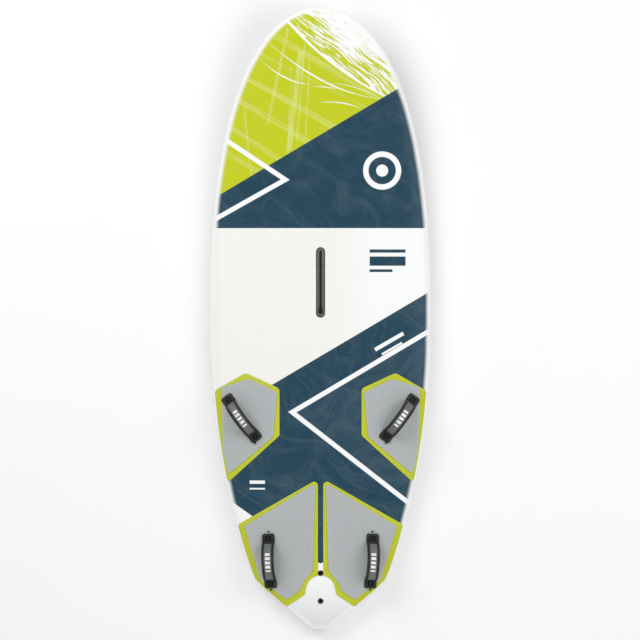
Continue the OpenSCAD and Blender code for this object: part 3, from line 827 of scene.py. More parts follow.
@dataclass(frozen=True)
class DeckPrint:
    """The printed laminate of the deck, with painted shade at the tail's end."""

    name: str = "deck_laminate"
    lime: Colour = (0.555, 0.615, 0.012)
    pale_lime: Colour = (0.74, 0.78, 0.3)
    navy: Colour = (0.013, 0.056, 0.092)
    mid_navy: Colour = (0.038, 0.084, 0.122)
    cream: Colour = (0.905, 0.905, 0.855)
    white: Colour = (0.95, 0.955, 0.96)
    # Grey of the painted shade at the tail's end, where the deck rolls down.
    shade: Colour = (0.76, 0.77, 0.78)
    line: float = 0.017
    chevrons: tuple[tuple[Spot, Spot, Spot], ...] = (
        ((-0.379, 0.362), (-0.113, 0.511), (-0.338, 0.661)),
        ((0.399, -0.0335), (-0.119, -0.34), (0.317, -0.68)),
    )

    @staticmethod
    def strokes(net: Surface, turn: float, stretch: float, density: float, wander: float) -> Socket:
        """Brushed strokes.

        Args:
            net: The material's nodes.
            turn: Their angle in degrees.
            stretch: How often they change along their length.
            density: How close they lie.
            wander: How far they drift.

        Returns:
            Their strength.
        """
        spot = net.place(net.where, turn)
        return net.group(net.groups.strokes, Vector=spot, Stretch=stretch, Density=density, Wander=wander).outputs[0]

    def ground(self, net: Surface, ink: PrintMask) -> Socket:
        """Mixes the large fields of colour, with painted shade at the tail's end.

        Args:
            net: The material's nodes.
            ink: The mask writer.

        Returns:
            The colour.
        """
        swirl = net.ramp(self.strokes(net, -28.0, 2.2, 34.0, 0.5), 0.46, 0.66)
        fan = net.ramp(self.strokes(net, 38.0, 3.0, 46.0, 0.35), 0.42, 0.62)
        upper = net.mix(net.times(swirl, 0.55), self.navy, self.mid_navy)
        _, inner = ink.chevron(*self.chevrons[1], self.line)
        lower = net.mix(net.times(swirl, 0.75), self.navy, self.mid_navy)
        lower = net.mix(net.times(inner, net.scaled(fan, 0.65, 0.3)), lower, self.mid_navy)

        field = net.mix(net.ramp(ink.x, 0.02, 0.24), self.cream, self.white)
        field = net.mix(ink.left_of((0.393, 0.097), (-0.148, -0.223)), field, lower)
        ahead = ink.both(ink.left_of((0.0, -0.896), (0.3, -0.785)), ink.left_of((-0.323, -0.672), (0.0, -0.898)))
        # Painted shade: the tail's white turns grey towards its end, where the deck rolls down and away.
        tail_white_to_painted_shade = net.mix(net.ramp(ink.y, -1.14, -0.94), self.shade, self.white)
        field = net.mix(net.minus(1.0, ahead, clamp=True), field, tail_white_to_painted_shade)
        field = net.mix(ink.left_of((0.0, 0.334), (1.0, 0.334)), field, upper)
        return net.mix(ink.left_of((-0.366, 0.459), (0.284, 0.845)), field, self.nose(net, ink))

    def nose(self, net: Surface, ink: PrintMask) -> Socket:
        """Mixes the lime nose with its brushed white.

        Args:
            net: The material's nodes.
            ink: The mask writer.

        Returns:
            The colour.
        """
        colour: Feed = self.lime
        u, v, _ = net.split(net.place(net.where, -31.0))
        fine = net.join(net.times(u, 5.0), net.times(v, 160.0))
        worn = net.ramp(net.noise(fine, 1.0, 3.0), 0.32, 0.6)
        fine = net.join(net.times(ink.x, 190.0), net.times(ink.y, 5.0))
        steep = net.ramp(net.noise(fine, 1.0, 3.0), 0.34, 0.58)
        for centre, width, turn, amount in (
            ((0.005, 0.933), 0.02, -31.0, 0.42), ((-0.079, 0.776), 0.02, -29.5, 0.5),
            ((-0.02, 0.87), 0.009, -27.0, 0.3), ((-0.162, 0.72), 0.022, -31.0, 0.42),
            ((-0.235, 0.641), 0.02, -33.0, 0.4), ((-0.274, 0.568), 0.016, -32.0, 0.34),
            ((-0.157, 0.888), 0.011, 77.8, 0.5), ((-0.094, 0.8), 0.02, 83.0, 0.6),
            ((-0.072, 0.83), 0.007, 85.0, 0.5), ((-0.045, 0.854), 0.006, 87.0, 0.45),
            ((-0.262, 0.6), 0.008, 96.0, 0.4), ((-0.115, 0.74), 0.006, 88.0, 0.4),
        ):
            band = ink.bar(centre, (0.62 if turn < 0.0 else 0.36, width), turn)
            band = net.times(band, net.times(worn if turn < 0.0 else steep, amount))
            colour = net.mix(band, colour, self.pale_lime)
        ragged = net.noise(net.place(net.where, 0.0, (0.05, 0.012, 1.0)), 1.0, 4.0, 0.7)
        streaks = ink.arc((-0.235, 0.235), (0.877, -0.53, 0.95), 0.0042, ragged)
        for ends, curve, width in (
            ((-0.24, -0.02), (0.862, 0.15, 2.5), 0.0036),
            ((-0.05, 0.09), (0.851, -0.08, -0.5), 0.0022),
            ((-0.02, 0.17), (0.793, 0.13, -1.85), 0.003),
            ((0.0, 0.24), (0.868, -0.02, -1.1), 0.0018),
        ):
            streaks = ink.either(streaks, ink.arc(ends, curve, width, ragged))
        colour = net.mix(net.times(streaks, 0.92), colour, self.white)

        gap = ink.gap((0.233, 0.816), (-0.113, 1.077), -1.0)
        run = net.times(ink.gap((0.06, 0.946), (0.218, 1.155)), 1.0 / 0.216)
        sag = net.times(net.minus(1.0, net.times(run, run), clamp=True), 0.021)
        past = net.plus(gap, sag)
        hair = net.times(self.strokes(net, -37.0, 6.5, 120.0, 0.12), 0.65)
        hair = net.scaled(self.strokes(net, -41.0, 16.0, 190.0, 0.1), 0.35, hair)
        edge = net.plus(net.ramp(past, 0.0, 0.2, 0.455, 0.575), net.ramp(past, 0.001, 0.009, 0.2, 0.0))
        lime_left = net.times(net.minus(hair, edge), 26.0, clamp=True)
        brushed = net.mix(lime_left, self.white, self.lime)
        return net.mix(net.ramp(past, -0.003, 0.001), colour, brushed)

    def build(self, groups: GroupMaker) -> Material:
        """Makes the material.

        Args:
            groups: The shared groups.

        Returns:
            The material.
        """
        net = Surface(self.name, groups)
        x, y, _ = net.split(net.where)
        ink = PrintMask(net, x, y)
        colour = self.ground(net, ink)
        for corners in self.chevrons:
            band, _ = ink.chevron(*corners, self.line)
            colour = net.mix(band, colour, self.white)
        pale = [
            ink.ring((0.226, 0.545), 0.07, 0.05), ink.ring((0.226, 0.545), 0.022, 0.0),
            ink.bar((0.252, -0.082), (0.12, 0.014), 30.0), ink.bar((0.262, -0.108), (0.085, 0.008), 30.0),
            ink.bar((-0.232, -0.598), (0.056, 0.012)), ink.bar((-0.232, -0.622), (0.056, 0.006)),
        ]
        dark = [
            ink.bar((0.246, 0.25), (0.132, 0.012)), ink.bar((0.246, 0.213), (0.132, 0.034)),
            ink.bar((0.222, 0.178), (0.084, 0.01)),
        ]
        for masks, tint in ((pale, self.white), (dark, self.navy)):
            for mask in masks:
                colour = net.mix(mask, colour, tint)
        wander = net.times(net.noise(net.where, 9.0, 2.0), 0.004)
        rail = net.ramp(net.plus(net.attribute("inset"), wander), 0.008, 0.026, 1.0, 0.0)
        colour = net.mix(rail, colour, self.white)
        worn = net.scuffed(22.0, 0.12)
        colour = net.mix(net.times(worn, 0.2), colour, self.white)
        height, mottle = net.grain(520.0)
        rough = net.plus(net.ramp(mottle, 0.0, 1.0, 0.3, 0.37), net.times(worn, 0.15))
        net.set(Base_Color=net.dusted(colour, 0.03, (0.6, 0.58, 0.55)), Roughness=rough)
        net.set(Coat_Roughness=0.12, Coat_Weight=0.05, Specular_IOR_Level=0.18)
        net.bump(height, 0.12, 0.00012)
        return net.material


@dataclass(frozen=True)
class PadFinish:
    """Closed-cell foam with fine pores, and with grooves where it is cut, both darkened with painted shade."""

    name: str
    colour: Colour
    grooved: bool
    pores: float = 620.0

    def build(self, groups: GroupMaker) -> Material:
        """Makes the material.

        Args:
            groups: The shared groups.

        Returns:
            The material.
        """
        net = Surface(self.name, groups)
        pore = net.pores(self.pores, 0.08, 0.6)
        height, mottle = net.grain(1500.0)
        dark = toned(self.colour, 0.8)
        colour = net.mix(mottle, self.colour, toned(self.colour, 1.06))
        # Painted shade: the pores are darkened in colour.
        colour = net.mix(net.times(net.minus(1.0, pore), 0.35), colour, dark)
        # Painted shade: the grooves, also cut down in the mesh, are darkened in colour.
        if self.grooved:
            colour = net.mix(net.times(net.attribute("groove"), 0.95), colour, toned(self.colour, 0.72))
        colour = net.mix(net.times(net.scuffed(20.0, 0.2), 0.15), colour, dark)
        net.set(Base_Color=net.dusted(colour, 0.05, (0.6, 0.58, 0.55)), Specular_IOR_Level=0.3)
        net.set(Roughness=net.ramp(mottle, 0.0, 1.0, 0.72, 0.86))
        net.bump(net.plus(pore, net.times(height, 0.5)), 0.45, 0.0003)
        return net.material


@dataclass(frozen=True)
class TrackFinish:
    """Moulded box plastic with a darker rim along the mast track's edge."""

    name: str
    colour: Colour
    rim: Colour
    centre: Spot
    length: float
    width: float

    def build(self, groups: GroupMaker) -> Material:
        """Makes the material.

        Args:
            groups: The shared groups.

        Returns:
            The material.
        """
        net = Surface(self.name, groups)
        x, y, _ = net.split(net.where)
        run = (self.length - self.width) / 2
        past = net.math("ABSOLUTE", net.minus(y, self.centre[1]))
        past = net.math("MAXIMUM", net.minus(past, run), 0.0)
        r = net.math("SQRT", net.plus(net.times(x, x), net.times(past, past)))
        edge = net.ramp(r, self.width / 2 - 0.0045, self.width / 2 - 0.0032)
        height, mottle = net.grain(1300.0)
        colour = net.mix(edge, net.mix(mottle, toned(self.colour, 0.88), self.colour), self.rim)
        colour = net.mix(net.times(net.scuffed(60.0, 0.35), 0.35), colour, (0.3, 0.3, 0.3))
        net.set(Base_Color=net.dusted(colour, 0.06, (0.5, 0.49, 0.46)))
        net.set(Roughness=net.ramp(mottle, 0.0, 1.0, 0.48, 0.6))
        net.bump(height, 0.3, 0.00025)
        return net.material


# ---- Shape of the hull ------------------------------------------------------


@dataclass(frozen=True)
class HullShape:
    """The rules of the outline and the section, in metres."""

    half_len: float
    half_w: float
    thick: float = 0.112
    nose_lift: float = 0.17
    rise_y: float = 0.2
    hip_half: float = 0.25
    hip_from_tail: float = 0.19
    tail_half: float = 0.03
    corner_flare: float = 1.2
    corner_round: float = 0.01
    rail_share: float = 0.35
    crown: float = 0.32
    nose_reach: float = 1.0006
    tail_reach: float = 1.006
    rail_round: float = 1 / 2.2

    @classmethod
    def measured(cls) -> "HullShape":
        """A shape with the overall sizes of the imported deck."""
        low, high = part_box("deck_shell")
        return cls(half_len=(high.y - low.y) / 2, half_w=(high.x - low.x) / 2)

    def half_width(self, y: Points) -> Points:
        """Half of the board's width.

        Args:
            y: Places along the board.

        Returns:
            The half-widths.
        """
        y = np.asarray(y, float)
        u = np.clip(y / (self.half_len * self.nose_reach), 0, 1)
        fore = self.half_w * (1 - u**2.5) ** (1 / 2.1)
        back = np.clip(-y / (self.half_len - self.hip_from_tail), 0, None)
        side = self.half_w - (self.half_w - self.hip_half) * back**2.15
        corner = self.tail_half + (y + self.half_len) * self.corner_flare
        aft = (side + corner - np.sqrt((side - corner) ** 2 + self.corner_round**2)) / 2
        return np.where(y >= 0, fore, aft)

    def closing(self, y: Points) -> Points:
        """How far the section is still open towards the ends."""
        u, v = y / (self.half_len * self.nose_reach), -y / (self.half_len * self.tail_reach)
        return np.where(y >= 0, np.sqrt(1 - np.clip(u, 0, 1) ** 12), np.sqrt(1 - np.clip(v, 0, 1) ** 60))

    def thickness(self, y: Points) -> Points:
        """Thickness on the centreline before the ends close."""
        u, v = y / (self.half_len * self.nose_reach), np.clip(-y / (self.half_len * self.tail_reach), 0, 1)
        return np.where(y >= 0, self.thick * (1 - 0.5 * u**2), self.thick * (1 - 0.25 * v**3))

    def rise(self, y: Points) -> Points:
        """Height of the underside on the centreline."""
        return self.nose_lift * (np.clip(y - self.rise_y, 0, None) / (self.half_len - self.rise_y)) ** 2.1

    def rail_z(self, y: Points) -> Points:
        """Height of the rail's widest line."""
        return self.rise(y) + self.rail_share * self.thickness(y)

    def deck_rise(self, y: Points) -> Points:
        """Height of the deck above the rail's line."""
        return (1 - self.rail_share) * self.thickness(y) * self.closing(y)

    def bottom_drop(self, y: Points) -> Points:
        """Depth of the bottom below the rail's line."""
        return self.rail_share * self.thickness(y) * self.closing(y)

    def deck_shape(self, r: Points) -> Points:
        """Share of the deck's rise across the board."""
        r = np.clip(np.abs(r), 0, 1)
        return self.crown * (1 - r**2) + (1 - self.crown) * (1 - r**24) ** self.rail_round

    def bottom_shape(self, r: Points) -> Points:
        """Share of the bottom's drop across the board."""
        return np.clip(1 - np.clip(2 * np.clip(np.abs(r), 0, 1) - 1, 0, None) ** 4, 0, 1) ** self.rail_round

    def deck_z(self, x: Points, y: Points) -> Points:
        """Height of the deck."""
        return self.rail_z(y) + self.deck_rise(y) * self.deck_shape(x / self.half_width(y))

    def deck_normal(self, x: Points, y: Points, step: float = 0.002) -> Points:
        """Upward unit directions of the deck.

        Args:
            x: Places across the board.
            y: Places along it.
            step: Distance over which the slope is taken.

        Returns:
            One row for each place.
        """
        inner = np.clip(x, step - self.half_width(y), self.half_width(y) - step)
        tilt_x = (self.deck_z(inner - step, y) - self.deck_z(inner + step, y)) / (2 * step)
        tilt_y = (self.deck_z(inner, y - step) - self.deck_z(inner, y + step)) / (2 * step)
        up = np.column_stack([tilt_x, tilt_y, np.ones_like(tilt_x)])
        return up / np.linalg.norm(up, axis=1)[:, None]

    def over_deck(self, xy: Points, out: Points) -> Points:
        """Points at a height above the deck, measured square to it.

        Args:
            xy: Rows of x and y on the deck.
            out: Heights.

        Returns:
            Rows of x, y and z.
        """
        x, y = xy[:, 0], xy[:, 1]
        base = np.column_stack([x, y, self.deck_z(x, y)])
        return base + self.deck_normal(x, y) * np.asarray(out, float).reshape(-1, 1)

    def strap_frame(self, x: float, y: float, turn: float, pitch: float) -> Points:
        """Frame of a strap: its chord along Y and its Z away from the deck.

        Args:
            x: Middle of the strap across the board.
            y: Middle of the strap along it.
            turn: Its turn in degrees.
            pitch: Distance between its screws.

        Returns:
            A 4 by 4 matrix.
        """
        d = pitch / 2 * np.array([-math.sin(math.radians(turn)), math.cos(math.radians(turn))])
        feet = np.array([[x, y] + d, [x, y] - d])
        ends = np.column_stack([feet, self.deck_z(feet[:, 0], feet[:, 1])])
        s = (ends[0] - ends[1]) / np.linalg.norm(ends[0] - ends[1])
        up = self.deck_normal(np.array([x]), np.array([y]), 0.005)[0]
        w = np.cross(s, up)
        w /= np.linalg.norm(w)
        matrix = np.eye(4)
        matrix[:3, 0], matrix[:3, 1], matrix[:3, 2] = w, s, np.cross(w, s)
        matrix[:3, 3] = (ends[0] + ends[1]) / 2
        return matrix

    def outline(self, count: int = 400) -> Points:
        """Points along the starboard outline from tail to nose, with the ends closed."""
        y = self.half_len * np.sin(np.linspace(-math.pi / 2, math.pi / 2, count))
        side = np.column_stack([self.half_width(y), y])
        return np.vstack([[0.0, -self.half_len], side, [0.0, self.half_len]])


def distance_inside(points: Points, line: Points, closed: bool = False) -> Points:
    """Distance from each point to a line of segments.

    Args:
        points: Rows of x and y.
        line: Rows of x and y along the line.
        closed: Whether the line returns to its start.

    Returns:
        One distance for each point.
    """
    a = line if closed else line[:-1]
    b = np.roll(line, -1, axis=0) if closed else line[1:]
    best = np.full(len(points), 1e9)
    run = b - a
    square = np.maximum((run * run).sum(1), 1e-18)
    for first in range(0, len(points), 2000):
        p = points[first : first + 2000, None, :] - a[None]
        t = np.clip((p * run).sum(2) / square, 0, 1)
        gap = p - t[..., None] * run
        best[first : first + 2000] = np.sqrt((gap * gap).sum(2).min(1))
    return best


def contains(line: Points, points: Points) -> Points:
    """Whether each point lies inside a closed outline.

    Args:
        line: Rows of x and y round the outline.
        points: Rows of x and y.

    Returns:
        One truth value for each point.
    """
    a, b = line, np.roll(line, -1, axis=0)
    inside = np.zeros(len(points), bool)
    for (ax, ay), (bx, by) in zip(a, b):
        crosses = (ay > points[:, 1]) != (by > points[:, 1])
        if crosses.any() and by != ay:
            inside ^= crosses & (points[:, 0] < (bx - ax) * (points[:, 1] - ay) / (by - ay) + ax)
    return inside


@dataclass
class Hull:
    """Deck and bottom skins of the shell, with the openings of its fittings."""

    shape: HullShape
    stations: int = 190
    columns: int = 40
    rail_wall: float = 0.004
    deck_wall: float = 0.005
    bottom_wall: float = 0.003
    rim_gap: float = 0.0002

    def rows(self) -> tuple[Points, Points]:
        """Places of the stations along the board and of the columns across it."""
        y = self.shape.half_len * np.sin(np.linspace(-math.pi / 2, math.pi / 2, self.stations + 1))
        t = np.linspace(-1, 1, 2 * self.columns + 1)
        return y, np.sign(t) * (1 - (1 - np.abs(t)) ** 2.6)

    def surface(self, deck: bool, inner: bool) -> Points:
        """Points of one face of one skin, with an end row at the rail's height.

        Args:
            deck: Whether this is the deck and not the bottom.
            inner: Whether this is the inner face.

        Returns:
            Rows of points, station by station.
        """
        shape = self.shape
        y, r = self.rows()
        wall, part = (self.deck_wall, 1 - shape.rail_share) if deck else (self.bottom_wall, shape.rail_share)
        thin = 1 - wall / (part * shape.thick) if inner else 1.0
        side = 1 - self.rail_wall / shape.half_w if inner else 1.0
        end = 1 - self.rail_wall / shape.half_len if inner else 1.0
        rows = []
        for k, place in enumerate(y):
            at = np.full_like(r, place)
            x = shape.half_width(at) * r * side
            rail = shape.rail_z(at)
            if deck:
                rise = shape.deck_rise(at) * shape.deck_shape(r)
            else:
                rise = -shape.bottom_drop(at) * shape.bottom_shape(r)
            row = np.column_stack([x, at * end, rail + rise * thin])
            flat = np.column_stack([x, at * end, rail])
            rows.extend([flat, row] if k == 0 else [row, flat] if k == len(y) - 1 else [row])
        return np.vstack(rows)

    def skin(self, name: str, deck: bool, finish: Material) -> Piece:
        """Makes one skin as a closed shell.

        Args:
            name: The object's name.
            deck: Whether this is the deck and not the bottom.
            finish: The material.

        Returns:
            The new object.
        """
        m, n = 2 * self.columns + 1, self.stations + 3
        outer, inner = self.surface(deck, False), self.surface(deck, True)
        size = m * n
        faces = [f[::-1] if deck else f for f in grid_faces(n, m)]
        faces += [tuple(k + size for k in reversed(f)) for f in faces]
        loop = [*range(m), *(i * m + m - 1 for i in range(1, n))]
        loop += [*((n - 1) * m + j for j in range(m - 2, -1, -1)), *(i * m for i in range(n - 2, 0, -1))]
        for a, b in zip(loop, loop[1:] + loop[:1]):
            quad = (a, b, b + size, a + size)
            faces.append(quad if deck else quad[::-1])
        obj = mesh_object(name, np.vstack([outer, inner]), faces, finish, 1e-6)
        bm = bmesh.new()
        bm.from_mesh(obj.data)
        bmesh.ops.recalc_face_normals(bm, faces=bm.faces[:])
        bm.to_mesh(obj.data)
        bm.free()
        return obj

    def circle_cutter(self, node: str, finish: Material, half: int = 0) -> Piece:
        """An upright round cutter the size of a node's box, or of its fore or aft half.

        Args:
            node: The CAD node.
            finish: Material of the cut's walls.
            half: 1 for the fore solid, -1 for the aft one, 0 for a single one.

        Returns:
            The cutter.
        """
        low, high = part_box(node)
        r = (high.x - low.x) / 2 + self.rim_gap
        y = {0: (low.y + high.y) / 2, 1: high.y - r + self.rim_gap, -1: low.y + r - self.rim_gap}[half]
        return prism("cutter", circle(r, 48, ((low.x + high.x) / 2, y)), low.z - 0.05, high.z + 0.05, finish)

    def slot_cutter(self, node: str, finish: Material) -> Piece:
        """An upright slot-shaped cutter the size of a node's box."""
        low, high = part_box(node)
        ring = stadium(high.y - low.y + 2 * self.rim_gap, high.x - low.x + 2 * self.rim_gap)
        ring = ring + np.array([(low.x + high.x) / 2, (low.y + high.y) / 2])
        return prism("cutter", ring, low.z - 0.05, high.z + 0.05, finish)

    def build(self, deck_finish: Material, bottom_finish: Material, holes: Sequence[Piece]) -> list[Piece]:
        """Makes both skins, cut for the fittings.

        Args:
            deck_finish: The deck's material.
            bottom_finish: The bottom's material.
            holes: Cutters for the strap inserts.

        Returns:
            The deck skin and the bottom skin.
        """
        deck = self.skin("deck_skin", True, deck_finish)
        cutters = [self.slot_cutter("mast_track_box", deck_finish), *holes]
        cutters += [self.circle_cutter("foil_bolt_sleeves", deck_finish, half) for half in (1, -1)]
        cut(deck, cutters)
        bottom = self.skin("bottom_skin", False, bottom_finish)
        cut(bottom, [self.slot_cutter("foil_box", bottom_finish), self.circle_cutter("vent_seat", bottom_finish)])
        for obj in (deck, bottom):
            soften(obj)
            x, y, _ = coordinates(obj).T
            add_value(obj, "inset", distance_inside(np.column_stack([np.abs(x), y]), self.shape.outline()))
            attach(obj, "board")
        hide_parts("deck_shell")
        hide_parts("bottom_shell")
        return [deck, bottom]


# ---- Pads -------------------------------------------------------------------


def rounded(corners: Sequence[tuple[float, float, float]], steps: int = 7) -> Points:
    """An outline whose corners are rounded.

    Args:
        corners: x, y and radius of each corner.
        steps: Pieces in each rounding.

    Returns:
        Rows of x and y.
    """
    out: list[Points] = []
    n = len(corners)
    for k, (x, y, r) in enumerate(corners):
        c = np.array([x, y])
        if r == 0:
            out.append(c)
            continue
        a = np.array(corners[k - 1][:2]) - c
        b = np.array(corners[(k + 1) % n][:2]) - c
        a, b = a / np.linalg.norm(a), b / np.linalg.norm(b)
        half = math.acos(float(np.clip(a @ b, -1, 1))) / 2
        middle = c + (a + b) / np.linalg.norm(a + b) * r / math.sin(half)
        start, stop = c + a * r / math.tan(half) - middle, c + b * r / math.tan(half) - middle
        for s in range(steps + 1):
            arm = start * (steps - s) + stop * s
            out.append(middle + r * arm / np.linalg.norm(arm))
    return np.array(out)


def even_steps(line: Points, step: float) -> Points:
    """Points at even steps round a closed outline.

    Args:
        line: Rows of x and y.
        step: The wished distance.

    Returns:
        Rows of x and y.
    """
    closed = np.vstack([line, line[:1]])
    run = np.concatenate([[0], np.cumsum(np.linalg.norm(np.diff(closed, axis=0), axis=1))])
    count = max(12, int(run[-1] / step))
    at = np.linspace(0, run[-1], count + 1)[:-1]
    return np.column_stack([np.interp(at, run, closed[:, 0]), np.interp(at, run, closed[:, 1])])


@dataclass
class DeckPad:
    """One layer of a deck pad, laid over the deck."""

    shape: HullShape
    outline: Points
    holes: list[Spot]
    below: float
    above: float
    grooved: bool
    hole_r: float = 0.004
    edge_r: float = 0.0018
    pitch: float = 0.0085
    swing: float = 0.0042
    period: float = 0.023
    groove_depth: float = 0.0009

    def zigzag(self, x: Points) -> Points:
        """Shift of a groove along the board."""
        return self.swing * (4 * np.abs(x / self.period - np.floor(x / self.period + 0.5)) - 1)

    def inner_points(self) -> tuple[Points, list[Pair]]:
        """Points inside the pad, and the edges that keep the grooves straight.

        Returns:
            The points and pairs of their numbers.
        """
        low, high = self.outline.min(0), self.outline.max(0)
        step = self.period / 4 if self.grooved else 0.009
        xs = np.arange(math.floor(low[0] / step), math.ceil(high[0] / step) + 1) * step
        if self.grooved:
            first, stop = math.floor(low[1] / self.pitch) - 1, math.ceil(high[1] / self.pitch) + 1
            lanes = self.pitch * np.array([0.0, 0.13, 0.5, 0.87])
            ys = np.concatenate([k * self.pitch + lanes for k in range(first, stop + 1)])
        else:
            ys = np.arange(math.floor(low[1] / step), math.ceil(high[1] / step) + 1) * step
        gx, gy = np.meshgrid(xs, ys)
        if self.grooved:
            gy = gy + self.zigzag(gx)
        places = np.column_stack([gx.ravel(), gy.ravel()])
        ok = contains(self.outline, places) & (distance_inside(places, self.outline, True) > self.edge_r * 1.5)
        for hole in self.holes:
            ok &= np.linalg.norm(places - hole, axis=1) > self.hole_r + 0.0012
        number = np.cumsum(ok) - 1
        ok, number = ok.reshape(gx.shape), number.reshape(gx.shape)
        edges = []
        if self.grooved:
            edges = [(int(number[i, j]), int(number[i, j + 1])) for i, j in zip(*np.nonzero(ok[:, :-1] & ok[:, 1:]))]
        return places[ok.ravel()], edges

    def build(self, name: str, node: str, side: Side, finish: Material, slot: str) -> Piece:
        """Makes the layer.

        Args:
            name: The object's name.
            node: The CAD node it stands for.
            side: The side of the board.
            finish: The material.
            slot: The record's material slot. Not used.

        Returns:
            The new object.
        """
        loops = [even_steps(self.outline, 0.004), *(circle(self.hole_r, 18, h) for h in self.holes)]
        rings, edges, count = [], [], 0
        for loop in loops:
            edges += [(count + k, count + (k + 1) % len(loop)) for k in range(len(loop))]
            count += len(loop)
            rings.append(loop)
        ring = loops[0]
        side_dir = np.roll(ring, -1, axis=0) - np.roll(ring, 1, axis=0)
        normal = np.column_stack([-side_dir[:, 1], side_dir[:, 0]]) / np.linalg.norm(side_dir, axis=1)[:, None]
        if not contains(ring, (ring + normal * 0.0005)[:1])[0]:
            normal = -normal
        for depth in (0.25 * self.edge_r, self.edge_r):
            inner = ring + normal * depth
            keep = contains(ring, inner) & (distance_inside(inner, ring, True) > 0.85 * depth)
            rings.append(inner[keep])
            count += int(keep.sum())
        grid, links = self.inner_points()
        edges += [(count + a, count + b) for a, b in links]
        flat = np.vstack([*rings, grid])
        verts, _, faces, _, _, _ = delaunay_2d_cdt([Vector(p) for p in flat], edges, [], 0, 1e-6)
        places = np.array([list(v) for v in verts], float)
        faces = np.array([list(f) for f in faces if len(f) == 3])
        middle = places[faces].mean(1)
        keep = contains(ring, middle)
        for hole in self.holes:
            keep &= np.linalg.norm(middle - hole, axis=1) > self.hole_r * 0.97
        faces = faces[keep]
        used, faces = np.unique(faces, return_inverse=True)
        faces, places = faces.reshape(-1, 3), places[used]
        a, b, c = places[faces[:, 0]], places[faces[:, 1]], places[faces[:, 2]]
        flip = np.cross(b - a, c - a) < 0
        faces[flip] = faces[flip][:, ::-1]

        gap = distance_inside(places, ring, True)
        for hole in self.holes:
            gap = np.minimum(gap, np.abs(np.linalg.norm(places - hole, axis=1) - self.hole_r) * 2)
        near = np.clip(1 - gap / self.edge_r, 0, 1)
        drop = self.edge_r * (1 - np.sqrt(1 - near**2))
        groove = np.zeros(len(places))
        if self.grooved:
            phase = (places[:, 1] - self.zigzag(places[:, 0])) / self.pitch
            off = np.abs(phase - np.round(phase))
            groove = np.clip(1 - off / 0.12, 0, 1) * np.clip((gap - self.edge_r) / 0.003, 0, 1)
        top = self.shape.over_deck(places, self.above - drop - self.groove_depth * groove)
        bottom = self.shape.over_deck(places, np.full(len(places), self.below))
        size = len(places)
        pairs = dict.fromkeys((int(f[k]), int(f[k - 2])) for f in faces for k in range(3))
        walls = [(q, p, p + size, q + size) for p, q in pairs if (q, p) not in pairs]
        everything = [tuple(f) for f in faces] + [tuple(int(k) + size for k in f[::-1]) for f in faces] + walls
        points, turned = mirrored(np.vstack([top, bottom]), everything, side)
        obj = mesh_object(name, points, turned, finish)
        add_value(obj, "groove", np.concatenate([groove, groove * 0])[: len(obj.data.vertices)])
        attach(obj, "board")
        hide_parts(node)
        return obj


# ---- Footstraps -------------------------------------------------------------


def sweep(path: Points, section: Points) -> tuple[Points, list[tuple[int, ...]]]:
    """Carries a closed section along a path in the strap's upright plane.

    Args:
        path: Rows of y and height.
        section: Rows of width and thickness, anticlockwise seen along the path.

    Returns:
        Points in the strap's frame and closed faces.
    """
    run = np.gradient(path, axis=0)
    run /= np.linalg.norm(run, axis=1)[:, None]
    out = np.column_stack([-run[:, 1], run[:, 0]])
    m, n = len(section), len(path)
    points = np.zeros((n, m, 3))
    points[:, :, 0] = section[None, :, 0]
    points[:, :, 1] = path[:, None, 0] + out[:, None, 0] * section[None, :, 1]
    points[:, :, 2] = path[:, None, 1] + out[:, None, 1] * section[None, :, 1]
    faces = grid_faces(n, m, loop=True)
    faces.append(tuple(range(m))[::-1])
    faces.append(tuple((n - 1) * m + k for k in range(m)))
    return points.reshape(-1, 3), faces


def smooth_path(points: Sequence[Spot], count: int) -> Points:
    """A smooth line through points.

    Args:
        points: y and height of each.
        count: How many points the result has.

    Returns:
        Rows of y and height at even steps.
    """
    p = np.array([points[0], *points, points[-1]], float)
    out = []
    for k in range(1, len(p) - 2):
        for t in np.linspace(0, 1, 12, endpoint=False):
            a, b, c, d = p[k - 1], p[k], p[k + 1], p[k + 2]
            bend, twist = 2 * a - 5 * b + 4 * c - d, 3 * b - a - 3 * c + d
            out.append(0.5 * (2 * b + (c - a) * t + bend * t**2 + twist * t**3))
    line = np.array([*out, points[-1]])
    run = np.concatenate([[0], np.cumsum(np.linalg.norm(np.diff(line, axis=0), axis=1))])
    at = np.linspace(0, run[-1], count)
    return np.column_stack([np.interp(at, run, line[:, 0]), np.interp(at, run, line[:, 1])])


def superellipse(half_x: float, half_y: float, power: float, count: int) -> Points:
    """A rounded rectangle with the same number of points whatever its size."""
    a = np.linspace(0, math.tau, count, endpoint=False)
    c, s = np.cos(a), np.sin(a)
    r = (np.abs(c) ** power + np.abs(s) ** power) ** (-1 / power)
    return np.column_stack([half_x * c * r, half_y * s * r])


